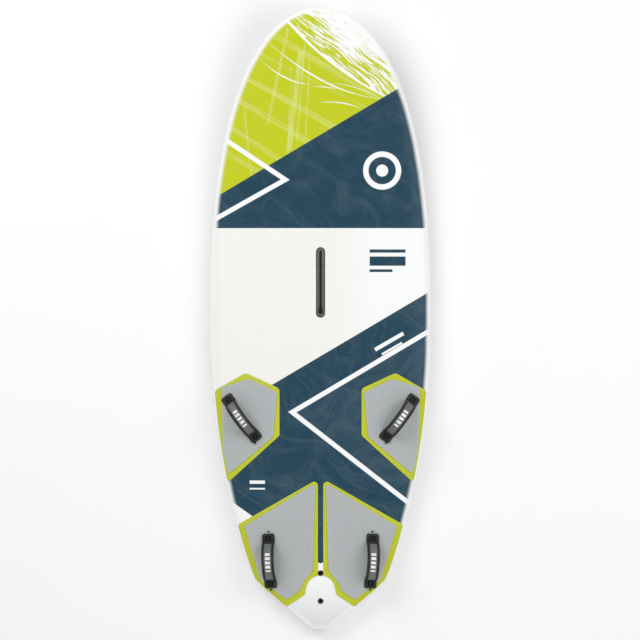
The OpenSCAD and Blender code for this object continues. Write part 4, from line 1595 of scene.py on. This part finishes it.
class RepeatTrees:
    """Geometry-node trees for what repeats on the straps."""

    def __init__(self) -> None:
        """Builds each tree once."""
        self.stitches = self.make_stitches()
        self.fasteners = self.make_fasteners()

    @staticmethod
    def finish(net: Net, out: Socket, copies: Socket, material: Socket) -> Tree:
        """Ends a tree by making its copies real and setting their material.

        Args:
            net: The tree's net.
            out: The tree's output.
            copies: The copies.
            material: Their material.

        Returns:
            The tree.
        """
        solid = net.step("GeometryNodeRealizeInstances", {"Geometry": copies})
        solid = net.step("GeometryNodeSetMaterial", {"Geometry": solid, "Material": material})
        net.feed(out, solid)
        return net.tree

    def make_stitches(self) -> Tree:
        """Threads laid at even steps along lines.

        Returns:
            The tree.
        """
        kinds = {"Pitch": "Float", "Length": "Float", "Radius": "Float", "Thread": "Material"}
        net, given, out = open_tree("Geometry", "stitch_rows", kinds, ("Geometry",))
        row = net.step("GeometryNodeMeshToCurve", {"Mesh": given["Geometry"]})
        row = net.step("GeometryNodeResampleCurve", {"Curve": row, "Length": given["Pitch"]}, mode="LENGTH")
        size = net.join(given["Radius"], given["Radius"], net.times(given["Length"], 0.5))
        ball = net.step("GeometryNodeMeshUVSphere", {"Segments": 6, "Rings": 4, "Radius": 1.0})
        ball = net.step("GeometryNodeTransform", {"Geometry": ball, "Scale": size})
        turn = net.step("GeometryNodeInputTangent", {})
        turn = net.step("FunctionNodeAlignRotationToVector", {"Vector": turn}, axis="Z")
        laid = net.step("GeometryNodeInstanceOnPoints", {"Points": row, "Instance": ball, "Rotation": turn})
        return self.finish(net, out["Geometry"], laid, given["Thread"])

    def make_fasteners(self) -> Tree:
        """A shape set square on points, turned at random about its axis.

        Returns:
            The tree.
        """
        kinds = {"Shape": "Object", "Axis": "Vector", "Size": "Float", "Turn": "Float", "Metal": "Material"}
        net, given, out = open_tree("Geometry", "set_on_points", kinds, ("Geometry",))
        shape = net.add("GeometryNodeObjectInfo")
        net.feed(shape.inputs["Object"], given["Shape"])
        turn = net.step("FunctionNodeAlignRotationToVector", {"Vector": given["Axis"]}, axis="Z")
        inputs = {"Points": given["Geometry"], "Instance": shape.outputs["Geometry"], "Rotation": turn}
        inputs["Scale"] = given["Size"]
        laid = net.step("GeometryNodeInstanceOnPoints", inputs)
        angle = net.step("FunctionNodeRandomValue", {3: given["Turn"], "Seed": 11}, 1, data_type="FLOAT")
        inputs = {"Instances": laid, "Rotation": net.join(0.0, 0.0, angle), "Local Space": True}
        laid = net.step("GeometryNodeRotateInstances", inputs)
        return self.finish(net, out["Geometry"], laid, given["Metal"])

    @staticmethod
    def run(name: str, tree: Tree, points: Points, edges: Sequence[Pair], values: dict[str, object]) -> Piece:
        """Runs a tree on points and lines.

        Args:
            name: The result's name.
            tree: The tree.
            points: Rows of x, y and z.
            edges: Pairs of point numbers that make lines.
            values: The tree's named inputs.

        Returns:
            An object with the result as a plain mesh.
        """
        mesh = bpy.data.meshes.new(name)
        mesh.from_pydata([tuple(map(float, p)) for p in points], list(edges), [])
        obj = bpy.data.objects.new(name, mesh)
        bpy.context.scene.collection.objects.link(obj)
        modifier = obj.modifiers.new("repeat", "NODES")
        modifier.node_group = tree
        for item in tree.interface.items_tree:
            if item.item_type == "SOCKET" and item.in_out == "INPUT" and item.name in values:
                modifier[item.identifier] = values[item.name]
        return plain_mesh(obj)


@dataclass(frozen=True)
class StrapFinishes:
    """The materials of a footstrap."""

    cover: Material
    padding: Material
    webbing: Material
    patch: Material
    print: Material
    thread: Material
    cap: Material
    metal: Material


@dataclass
class Footstrap:
    """One footstrap: padding, webbing, cover, patch, end caps and screws."""

    place: Place
    side: Side
    frame: Points
    dress: StrapFinishes
    trees: RepeatTrees
    pitch: float = 0.164
    base: float = 0.008
    arch_r: float = 0.066
    cover_w: float = 0.046
    cover_t: float = 0.003
    padding_t: float = 0.006
    web_w: float = 0.038
    web_t: float = 0.0025
    web_gap: float = 0.0001
    patch_w: float = 0.027
    patch_t: float = 0.0012
    patch_angle: float = 66.0
    cap_size: Spot = (0.046, 0.0325)
    cap_low: float = 0.0084
    cap_high: float = 0.016
    recess: float = 0.019
    plate_top: float = 0.0129
    head_r: float = 0.006
    head_h: float = 0.0032
    screw_len: float = 0.036

    @property
    def name(self) -> str:
        """The strap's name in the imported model."""
        return f"{self.place.value}_{self.side.value}_strap"

    def to_board(self, local: Points) -> Points:
        """Points of the strap's frame in the board's frame, on the strap's own side."""
        points = local @ self.frame[:3, :3].T + self.frame[:3, 3]
        return points if self.side is Side.LEFT else points * MIRROR

    def piece(self, part: str, local: Points, faces: Faces, finish: Material) -> Piece:
        """Makes a piece from a shape in the strap's frame.

        Args:
            part: The piece's own name.
            local: Its points.
            faces: Its faces.
            finish: Its material.

        Returns:
            The new object.
        """
        turned = [list(f) if self.side is Side.LEFT else list(reversed(f)) for f in faces]
        obj = mesh_object(f"{self.name}_{part}", self.to_board(local), turned, finish)
        self.add_strip(obj)
        return obj

    def add_strip(self, obj: Piece) -> None:
        """Stores coordinates that run across and along the strap, for its weave."""
        places = coordinates(obj)
        if self.side is Side.RIGHT:
            places = places * MIRROR
        local = (places - self.frame[:3, 3]) @ self.frame[:3, :3]
        angle = np.arctan2(np.maximum(local[:, 2] - self.base, 0.0), local[:, 1])
        along = angle * self.arch_r + np.clip(np.abs(local[:, 1]) - self.arch_r, 0, None) * -np.sign(local[:, 1])
        strip = np.column_stack([local[:, 0], along, np.zeros(len(local))])
        stored = obj.data.attributes.new("strip", "FLOAT_VECTOR", "POINT")
        stored.data.foreach_set("vector", strip.astype(np.float32).ravel())

    def lean(self, obj: Piece, node: str) -> Piece:
        """Fixes a piece's transform into its mesh, and hides the node that it stands for when one is given."""
        foot, bend = self.to_board(np.array([[0, 0, 0.0105], [0, 0, 0.03]]))
        self.name
        tuple(foot)
        tuple(bend)
        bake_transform(obj)
        if node:
            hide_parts(node)
        return obj

    def on_arch(self, r: float, angles: Points) -> Points:
        """y and height at a radius from the arch's centre, for angles in radians."""
        return np.column_stack([r * np.cos(angles), self.base + r * np.sin(angles)])

    def line(self, out: float, low: float, foot: Sequence[Spot], count: int) -> Points:
        """Path over the arch at a distance from the webbing, with its feet.

        Args:
            out: Distance outside the webbing's middle.
            low: Angle at which the arch ends, in degrees.
            foot: y and height of further points towards the foot.
            count: How many points the path has.

        Returns:
            Rows of y and height.
        """
        arch = self.on_arch(self.arch_r + out, np.radians(np.linspace(low, 180 - low, 23)))
        start = [(y, z) for y, z in reversed(foot)]
        return smooth_path([*start, *arch, *[(-y, z) for y, z in foot]], count)

    @staticmethod
    def band(width: float, thick: float, crown: float, bead: float, steps: int = 18) -> Points:
        """Section of a band with a crowned outside and beaded edges.

        Args:
            width: Its width.
            thick: Its thickness.
            crown: How far its middle swells outwards.
            bead: How far its edges swell.
            steps: Points across it.

        Returns:
            Rows of width and thickness.
        """
        t = np.linspace(-1, 1, steps)
        half = width / 2 - thick / 2
        edge = bead * np.exp(-(((np.abs(t) - 0.93) / 0.06) ** 2))
        groove = -0.35 * bead * np.exp(-(((np.abs(t) - 0.78) / 0.035) ** 2))
        top = np.column_stack([half * t, thick / 2 + crown * (1 - t**2) + edge + groove])
        bottom = np.column_stack([half * t[::-1], np.full(steps, -thick / 2)])
        turn = np.linspace(-math.pi / 2, math.pi / 2, 8)[1:-1]
        right = np.column_stack([half + thick / 2 * np.cos(turn), thick / 2 * np.sin(turn)])
        left = np.column_stack([-right[:, 0], right[:, 1]])[::-1]
        return np.vstack([bottom[::-1], right, top[::-1], left])

    def soft_parts(self) -> None:
        """Makes the cover, the padding and the webbing."""
        out = self.web_t / 2 + self.web_gap
        foot = [(0.0682, 0.0225), (0.0688, 0.0168), (0.0712, 0.0132), (0.0755, 0.0122)]
        path = self.line(out + self.cover_t / 2, 22, foot, 84)
        points, faces = sweep(path, self.band(self.cover_w, self.cover_t, 0.0009, 0.0006, 30))
        cover = self.piece("cover_skin", points, faces, self.dress.cover)
        self.lean(cover, f"{self.name}_cover")
        inner = [(0.0595, 0.0215), (0.0612, 0.0155), (0.0645, 0.0122)]
        path = self.line(-out - self.padding_t / 2, 20, inner, 80)
        section = self.band(self.cover_w - 0.004, self.padding_t, 0.0, 0.0, 14)
        low = section[:, 1] < -self.padding_t * 0.45
        section[low, 1] -= 0.0009 * (1 - (section[low, 0] / (self.cover_w / 2)) ** 2)
        points, faces = sweep(path, section)
        padding = self.piece("padding_foam", points, faces, self.dress.padding)
        self.lean(padding, f"{self.name}_padding")
        web_z = self.cap_low + self.web_t / 2
        foot = [(0.0655, 0.0175), (0.067, 0.0122), (0.0712, web_z + 0.0001), (0.08, web_z), (0.0975, web_z)]
        path = self.line(0.0, 16, foot, 96)
        points, faces = sweep(path, self.band(self.web_w, self.web_t, 0.0, 0.0, 14))
        self.lean(self.piece("webbing_band", points, faces, self.dress.webbing), f"{self.name}_webbing")

    def patch(self) -> None:
        """Makes the patch on the cover, its plain printed bars and its stitches."""
        out = self.web_t / 2 + self.web_gap + self.cover_t + 0.0007
        r = self.arch_r + out + self.patch_t / 2
        angles = np.radians(np.linspace(90 - self.patch_angle, 90 + self.patch_angle, 40))
        points, faces = sweep(self.on_arch(r, angles), self.band(self.patch_w, self.patch_t, 0.0003, 0.0, 12))
        obj = self.piece("patch_label", points, faces, self.dress.patch)
        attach(obj, self.name)
        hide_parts(f"{self.name}_patch")
        top = r + self.patch_t / 2 + 0.0003
        widths, half_angle = (0.0095, 0.0105, 0.0095, 0.0105, 0.007), 31
        bars, count, bar_faces = [], 0, []
        for k, width in enumerate(widths):
            turn = math.radians(90 - half_angle) + math.radians(2 * half_angle) * (k + 0.5) / len(widths)
            spread = width / top / 2
            arc = self.on_arch(top - 0.0004, np.linspace(turn - spread, turn + spread, 5))
            p, f = sweep(arc, superellipse(0.0088, 0.0006, 6, 16))
            bars.append(p)
            bar_faces += [tuple(i + count for i in face) for face in f]
            count += len(p)
        label = self.piece("patch_bars", np.vstack(bars), bar_faces, self.dress.print)
        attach(label, self.name)
        self.stitches(top)

    def stitches(self, top: float) -> None:
        """Makes the stitches along the cover's edges and round the patch.

        Args:
            top: Radius of the patch's outside.
        """
        points: list[Points] = []
        edges: list[Pair] = []

        def add(local: Points, closed: bool = False) -> None:
            """Adds one row of stitches."""
            first = sum(len(p) for p in points)
            points.append(self.to_board(local))
            edges.extend((first + k, first + k + 1) for k in range(len(local) - 1))
            if closed:
                edges.append((first + len(local) - 1, first))

        edge_w = self.cover_w / 2 - 0.0058
        cover_r = self.arch_r + self.web_t / 2 + self.cover_t + 0.0004
        for across in (-edge_w, edge_w):
            a = np.radians(np.linspace(17, 163, 74))
            add(np.column_stack([np.full_like(a, across), self.on_arch(cover_r, a)]))
        half, reach = self.patch_w / 2 - 0.0018, math.radians(self.patch_angle) - 0.035
        around = superellipse(half, reach * top, 14, 120)
        a = math.pi / 2 - around[:, 1] / top
        add(np.column_stack([around[:, 0], self.on_arch(top - 0.0002, a)]), True)
        sizes = {"Pitch": 0.0038, "Length": 0.0029, "Radius": 0.00042, "Thread": self.dress.thread}
        obj = self.trees.run(f"{self.name}_stitches", self.trees.stitches, np.vstack(points), edges, sizes)
        self.lean(obj, "")

    def caps(self) -> None:
        """Makes the two moulded end caps with their square screw wells."""
        count, side, edge = 72, 4.5, 0.0022
        half_x, half_y = self.cap_size[0] / 2, self.cap_size[1] / 2
        low, high, shoulder = self.cap_low, self.cap_high, self.cap_high - 0.0026
        well, off_screw = self.recess / 2, 0.003
        rings = [(half_x - 0.0006, half_y - 0.0006, low, side), (half_x, half_y, low + 0.0006, side)]
        rings.append((half_x, half_y, shoulder, side))
        for turn in (20, 45, 70, 90):
            c, s = math.cos(math.radians(turn)), math.sin(math.radians(turn))
            rings.append((half_x - edge * (1 - c), half_y - edge * (1 - c), shoulder + edge * s, side))
        rings.append((half_x - 0.0042, half_y - 0.0034, high - 0.0001, 5.0))
        hollow = [(0.0022, high - 0.0001, 8.0), (0.0017, high, 8.0), (0.0006, high - 0.0001, 9.0)]
        hollow += [(0.0, high - 0.0008, 9.0), (-0.0003, self.plate_top - 0.0004, 9.0)]
        rings += [(well + grow, well + grow, z, power) for grow, z, power in hollow]
        all_points, all_faces = [], []
        for end in (1, -1):
            start = sum(len(p) for p in all_points)
            rows = []
            for index, (hx, hy, z, power) in enumerate(rings):
                ring = superellipse(hx, hy, power, count)
                shift = self.pitch / 2 + (off_screw if index < len(rings) - len(hollow) else 0.0)
                rows.append(np.column_stack([ring[:, 0], ring[:, 1] + end * shift, np.full(count, z)]))
            all_points.append(np.vstack(rows))
            all_faces += grid_faces(len(rings), count, start, True)
            all_faces.append(tuple(start + k for k in reversed(range(count))))
            all_faces.append(tuple(start + (len(rings) - 1) * count + k for k in range(count)))
        obj = self.piece("end_caps_moulded", np.vstack(all_points), all_faces, self.dress.cap)
        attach(obj, "board")
        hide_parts(f"{self.name}_end_caps")

    def screws(self, shape: Piece) -> None:
        """Sets the two screws.

        Args:
            shape: The screw's shape, with its head's underside at the origin.
        """
        feet = self.to_board(np.array([[0, s * self.pitch / 2, self.plate_top] for s in (1, -1)]))
        axis = self.to_board(np.array([[0, 0, 1.0], [0, 0, 0.0]]))
        values = {"Shape": shape, "Axis": list(map(float, axis[0] - axis[1])), "Size": 1.0, "Turn": math.tau}
        values["Metal"] = self.dress.metal
        obj = self.trees.run(f"{self.name}_screw_pair", self.trees.fasteners, feet, [], values)
        soften(obj)
        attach(obj, "board")
        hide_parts(f"{self.name}_screws")

    @classmethod
    def screw_shape(cls, finish: Material) -> Piece:
        """Makes a pan-head screw with a cross slot and a ridged shank.

        Args:
            finish: Its material.

        Returns:
            The shape, to be removed after use.
        """
        r, h, shank = cls.head_r, cls.head_h, 0.0029
        profile = [(0.0, h), (r * 0.45, h), (r * 0.72, h * 0.93), (r * 0.9, h * 0.72)]
        profile += [(r, h * 0.35), (r, 0.0), (shank, 0.0)]
        for k in range(30):
            profile.append((shank if k % 2 else shank * 0.84, -0.003 - 0.001 * k))
        profile += [(shank * 0.3, -cls.screw_len + 0.0005), (0.0, -cls.screw_len)]
        count = 24
        points = np.vstack([np.column_stack([circle(out, count), np.full(count, z)]) for out, z in profile])
        faces = [f[::-1] for f in grid_faces(len(profile), count, loop=True)]
        obj = mesh_object("screw_shape", points, faces, finish, 1e-6)
        cutters = []
        for long, wide in ((0.0034, 0.00075), (0.00075, 0.0034)):
            cross = np.array([[-long, -wide], [long, -wide], [long, wide], [-long, wide]])
            cutters.append(prism("cross", cross, h - 0.0018, h + 0.002, finish))
        cut(obj, cutters)
        return obj

    def build(self, screw: Piece) -> None:
        """Makes every piece of the strap.

        Args:
            screw: The screw's shape.
        """
        self.soft_parts()
        self.patch()
        self.caps()
        self.screws(screw)


# ---- Layout of the deck -----------------------------------------------------


@dataclass(frozen=True)
class Layout:
    """Where the straps and pads lie, in metres, for the left side."""

    shape: HullShape
    fore: Spot = (-0.288367, -0.363)
    aft: Spot = (-0.186, -0.8866)
    turns: Spot = (36.3, 2.9)
    foil_y: float = -0.9833
    pitch: float = 0.164
    hole_step: float = 0.025
    cutter_r: float = 0.0042
    notch_r: float = 0.011
    sleeve_y: float = -0.932
    layers: tuple[float, float, float] = (0.0, 0.003, 0.008)

    def rail(self, y: float, inset: float, r: float) -> tuple[float, float, float]:
        """A corner at a distance inside the rail."""
        return inset - float(self.shape.half_width(np.array(y))), y, r

    def along_rail(self, y0: float, y1: float, steps: int) -> list[tuple[float, float, float]]:
        """Corners that follow the rail between two places."""
        return [self.rail(y0 + (y1 - y0) * k / steps, 0.008, 0.0) for k in range(1, steps)]

    def front_base(self) -> Points:
        """Outline of the front pad's lower layer."""
        x, y = self.fore
        return rounded(
            [(x + 0.013, y + 0.166, 0.022), (x + 0.138, y + 0.109, 0.018), (x + 0.138, y - 0.064, 0.012)]
            + [self.rail(y - 0.236, 0.008, 0.006), *self.along_rail(y - 0.236, y + 0.101, 8)]
            + [self.rail(y + 0.101, 0.008, 0.018)]
        )

    def front_top(self) -> Points:
        """Outline of the front pad's upper layer."""
        x, y = self.fore
        return rounded(
            [(x + 0.027, y + 0.144, 0.01), (x + 0.129, y + 0.095, 0.004), (x + 0.114, y - 0.068, 0.014)]
            + [self.rail(y - 0.204, 0.019, 0.004), self.rail(y - 0.117, 0.015, 0.06)]
            + [self.rail(y + 0.113, 0.033, 0.008)]
        )

    def rear_base(self) -> Points:
        """Outline of the rear pad's lower layer, with its bays for the sleeves."""
        y, gap, bay_r, bay_y = self.aft[1], 0.0095, 0.053, self.foil_y - 0.01
        tip, shoulder = self.foil_y - 0.072, y + 0.133
        turns = [math.radians(a) for a in range(20, 77, 14)]
        bay = [(-bay_r * math.sin(a), bay_y + bay_r * math.cos(a), 0.0) for a in turns]
        half = math.acos(gap / self.notch_r)
        turns, r = np.linspace(half, -half, 5), self.notch_r
        notch = [(-r * math.cos(a), self.sleeve_y + r * math.sin(a), 0.0) for a in turns]
        mouth = bay_y + math.sqrt(bay_r**2 - gap**2)
        start = [(-gap, y + 0.301, 0.014), *[n for n in notch if n[1] > mouth], (-gap, mouth, 0.0)]
        return rounded(
            start + bay + [(-0.058, self.foil_y - 0.028, 0.008), self.rail(tip, 0.008, 0.008)]
            + self.along_rail(tip, shoulder, 9) + [self.rail(shoulder, 0.008, 0.014)]
        )

    def rear_top(self) -> Points:
        """Outline of the rear pad's upper layer."""
        y, bay_y = self.aft[1], self.foil_y - 0.01
        return rounded(
            [(-0.0195, y + 0.286, 0.008), (-0.0295, bay_y + 0.069, 0.006), (-0.067, bay_y + 0.026, 0.022)]
            + [(-0.074, self.foil_y - 0.01, 0.014), self.rail(self.foil_y - 0.045, 0.04, 0.006)]
            + [self.rail(y - 0.072, 0.024, 0.06), self.rail(y + 0.127, 0.031, 0.006)]
        )

    def strap_frame(self, place: Place) -> Points:
        """Frame of a left-hand strap."""
        front = place is Place.FRONT
        x, y = self.fore if front else self.aft
        return self.shape.strap_frame(x, y, self.turns[0 if front else 1], self.pitch)

    def holes(self, place: Place) -> list[Spot]:
        """Places of the insert holes of a left-hand strap."""
        front = place is Place.FRONT
        steps = ((0, -1), (0, -1)) if front else ((0, 1), (0, -1))
        turn = math.radians(self.turns[0 if front else 1])
        matrix = self.strap_frame(place)
        out = []
        for end, row in zip((1, -1), steps):
            for m in row:
                shift = m * self.hole_step
                spot = np.array([shift * math.sin(turn), end * self.pitch / 2 + shift * math.cos(turn), 0.0, 1.0])
                out.append(tuple((matrix @ spot)[:2]))
        return out

    def deck_cutters(self, finish: Material) -> list[Piece]:
        """Round cutters over every insert hole, for both sides."""
        out = []
        for place in Place:
            for x, y in self.holes(place):
                top = float(self.shape.deck_z(np.array(x), np.array(y)))
                rings = [circle(self.cutter_r, 24, (s * x, y)) for s in (1, -1)]
                out += [prism("cutter", ring, top - 0.03, top + 0.02, finish) for ring in rings]
        return out


# ---- Studio -----------------------------------------------------------------


@dataclass(frozen=True)
class Studio:
    """A pale floor, soft lights and a camera that looks straight down."""

    camera_at: tuple[float, float, float] = (-0.002, -0.003, 26.19)
    lens: float = 400.0
    floor_half: float = 30.0
    floor_gap: float = 0.0004
    floor_colour: Colour = (0.98, 0.98, 0.98)
    world: float = 0.54
    lamps: tuple[tuple[float, ...], ...] = (
        (-2.4, 2.2, 3.6, 3.0, 78.0),
        (2.8, 0.6, 3.4, 3.2, 48.0),
        (0.3, -3.6, 3.0, 2.6, 26.0),
    )

    def floor(self) -> None:
        """Makes the floor."""
        h, low = self.floor_half, -self.floor_gap
        net = Surface("studio_floor")
        grain = net.noise(net.where, 3.0)
        net.set(Base_Color=net.mix(grain, toned(self.floor_colour, 0.99), self.floor_colour), Roughness=0.9)
        corners = np.array([[-h, -h, low], [h, -h, low], [h, h, low], [-h, h, low]])
        obj = mesh_object("studio_floor", corners, [(0, 1, 2, 3)], net.material)

    def light(self) -> None:
        """Sets the world and the lamps."""
        scene = bpy.context.scene
        scene.world = bpy.data.worlds.new("studio")
        scene.world.use_nodes = True
        sky = scene.world.node_tree.nodes["Background"]
        sky.inputs[0].default_value, sky.inputs[1].default_value = (1.0, 1.0, 1.0, 1.0), self.world
        for k, (x, y, z, size, power) in enumerate(self.lamps):
            data = bpy.data.lights.new(f"softbox_{k}", "AREA")
            data.shape, data.size, data.energy = "DISK", size, power
            lamp = bpy.data.objects.new(data.name, data)
            scene.collection.objects.link(lamp)
            lamp.location = (x, y, z)
            lamp.rotation_euler = (Vector((0, 0, 0)) - lamp.location).to_track_quat("-Z", "Y").to_euler()

    def camera(self) -> None:
        """Sets the camera."""
        data = bpy.data.cameras.new("view")
        data.lens, data.sensor_width = self.lens, 36.0
        camera = bpy.data.objects.new("view", data)
        camera.location = self.camera_at
        data.clip_end = 200.0
        bpy.context.scene.collection.objects.link(camera)
        bpy.context.scene.camera = camera
        bpy.context.scene.view_settings.view_transform = "Standard"

    def build(self) -> None:
        """Makes everything that isn't the board."""
        self.floor()
        self.light()
        self.camera()


# ---- Whole board ------------------------------------------------------------


@dataclass
class Board:
    """Every finish and piece of the board."""

    groups: GroupMaker
    shape: HullShape

    def solid(self, *values: object, **more: object) -> Material:
        """Makes a simple finish's material."""
        return SolidFinish(*values, **more).build(self.groups)

    def dress_fittings(self) -> None:
        """Gives every CAD node that stays its finish."""
        low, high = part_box("mast_track_box")
        track_grey, rim_grey = (0.1, 0.106, 0.106), (0.03, 0.031, 0.032)
        middle = ((low.x + high.x) / 2, (low.y + high.y) / 2)
        track = TrackFinish("track_plastic", track_grey, rim_grey, middle, high.y - low.y, high.x - low.x)
        dark = self.solid("box_plastic", (0.028, 0.029, 0.031), 0.5)
        foam = self.solid("core_foam", (0.8, 0.78, 0.7), 0.9, Texture.FOAM, scale=320.0)
        dense = self.solid("dense_foam", (0.62, 0.55, 0.34), 0.85, Texture.FOAM, scale=600.0)
        insert = self.solid("insert_plastic", (0.03, 0.03, 0.032), 0.55)
        worn = {"strength": 0.15, "dust": 0.0, "scuffs": 0.1}
        plate = self.solid("black_steel", (0.012, 0.012, 0.013), 0.45, Texture.METAL, **worn)
        vent = self.solid("vent_plastic", (0.05, 0.05, 0.054), 0.42)
        ring = self.solid("seal_rubber", (0.012, 0.012, 0.012), 0.7)
        nodes = {"mast_track_box": track.build(self.groups), "foam_core": foam, "vent_plug": vent, "vent_seal": ring}
        nodes |= dict.fromkeys(("mast_track_block", "foil_box_block"), dense)
        nodes |= dict.fromkeys(("foil_box", "foil_bolt_sleeves", "vent_seat"), dark)
        for place in Place:
            for side in Side:
                name = f"{place.value}_{side.value}_strap"
                nodes |= {f"{name}_plates": plate, f"{name}_inserts": insert}
        for node, material in nodes.items():
            for slot in frame["nodes"][node].material_slots:
                slot.material = material
            LOG.info("%s: finish %s", node, material.name)

    def strap_finishes(self) -> StrapFinishes:
        """Makes the straps' finishes."""
        return StrapFinishes(
            cover=ClothFinish("strap_cover", (0.006, 0.006, 0.0065), 420.0, 420.0, fuzz=0.06).build(self.groups),
            padding=self.solid("strap_foam", (0.02, 0.02, 0.021), 0.85, Texture.FOAM, scale=900.0),
            webbing=ClothFinish("webbing", (0.012, 0.012, 0.013), 520.0, 260.0, depth=0.0005).build(self.groups),
            patch=ClothFinish("strap_patch", (0.115, 0.125, 0.12), 900.0, 900.0, 0.7, 0.00012, 0.05).build(self.groups),
            print=self.solid("label_ink", (0.85, 0.85, 0.84), 0.6),
            thread=self.solid("strap_thread", (0.035, 0.035, 0.037), 0.75),
            cap=self.solid("cap_rubber", (0.003, 0.003, 0.0032), 0.55, depth=0.0003, scuffs=0.05, dust=0.02),
            metal=self.solid("screw_steel", (0.05, 0.05, 0.053), 0.34, Texture.METAL, strength=0.1, dust=0.0),
        )

    def pads(self, layout: Layout) -> None:
        """Makes the eight layers of the deck pads.

        Args:
            layout: Where everything lies.
        """
        lime = PadFinish("pad_lime", (0.53, 0.585, 0.028), False).build(self.groups)
        grey = PadFinish("pad_grey", (0.475, 0.5, 0.51), True).build(self.groups)
        low, middle, high = layout.layers
        outlines = {(Place.FRONT, "base"): layout.front_base(), (Place.FRONT, "top"): layout.front_top()}
        outlines |= {(Place.REAR, "base"): layout.rear_base(), (Place.REAR, "top"): layout.rear_top()}
        for (place, layer), outline in outlines.items():
            top = layer == "top"
            heights = (middle, high) if top else (low, middle)
            pad = DeckPad(self.shape, outline, layout.holes(place), *heights, top)
            for side in Side:
                name = f"{place.value}_{side.value}_pad_{layer}"
                obj = pad.build(f"{name}_foam", name, side, grey if top else lime, "pad_grey" if top else "pad_lime")
                LOG.info("%s: %d faces", obj.name, len(obj.data.polygons))

    def straps(self, layout: Layout) -> None:
        """Makes the four footstraps.

        Args:
            layout: Where everything lies.
        """
        dress, trees = self.strap_finishes(), RepeatTrees()
        screw = Footstrap.screw_shape(dress.metal)
        for place in Place:
            for side in Side:
                strap = Footstrap(place, side, layout.strap_frame(place), dress, trees)
                strap.build(screw)
                LOG.info("%s: built", strap.name)
        bpy.data.objects.remove(screw)

    def hull(self, layout: Layout) -> None:
        """Makes the deck and bottom skins.

        Args:
            layout: Where everything lies.
        """
        deck = DeckPrint().build(self.groups)
        faint = {"depth": 0.0001, "strength": 0.1, "scuffs": 0.04, "mottle": 0.1}
        bottom = self.solid("bottom_laminate", (0.86, 0.865, 0.87), 0.3, scale=520.0, **faint)
        for obj in Hull(self.shape).build(deck, bottom, layout.deck_cutters(deck)):
            LOG.info("%s: %d faces", obj.name, len(obj.data.polygons))

    def build(self) -> None:
        """Makes the whole board."""
        layout = Layout(self.shape)
        self.hull(layout)
        self.pads(layout)
        self.straps(layout)
        self.dress_fittings()


def main() -> None:
    """Builds the studio and the board."""
    logging.basicConfig(level=logging.INFO, format="%(message)s")
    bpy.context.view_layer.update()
    Studio().build()
    Board(GroupMaker(), HullShape.measured()).build()
    bpy.context.view_layer.update()


if __name__ == "__main__":
    main()
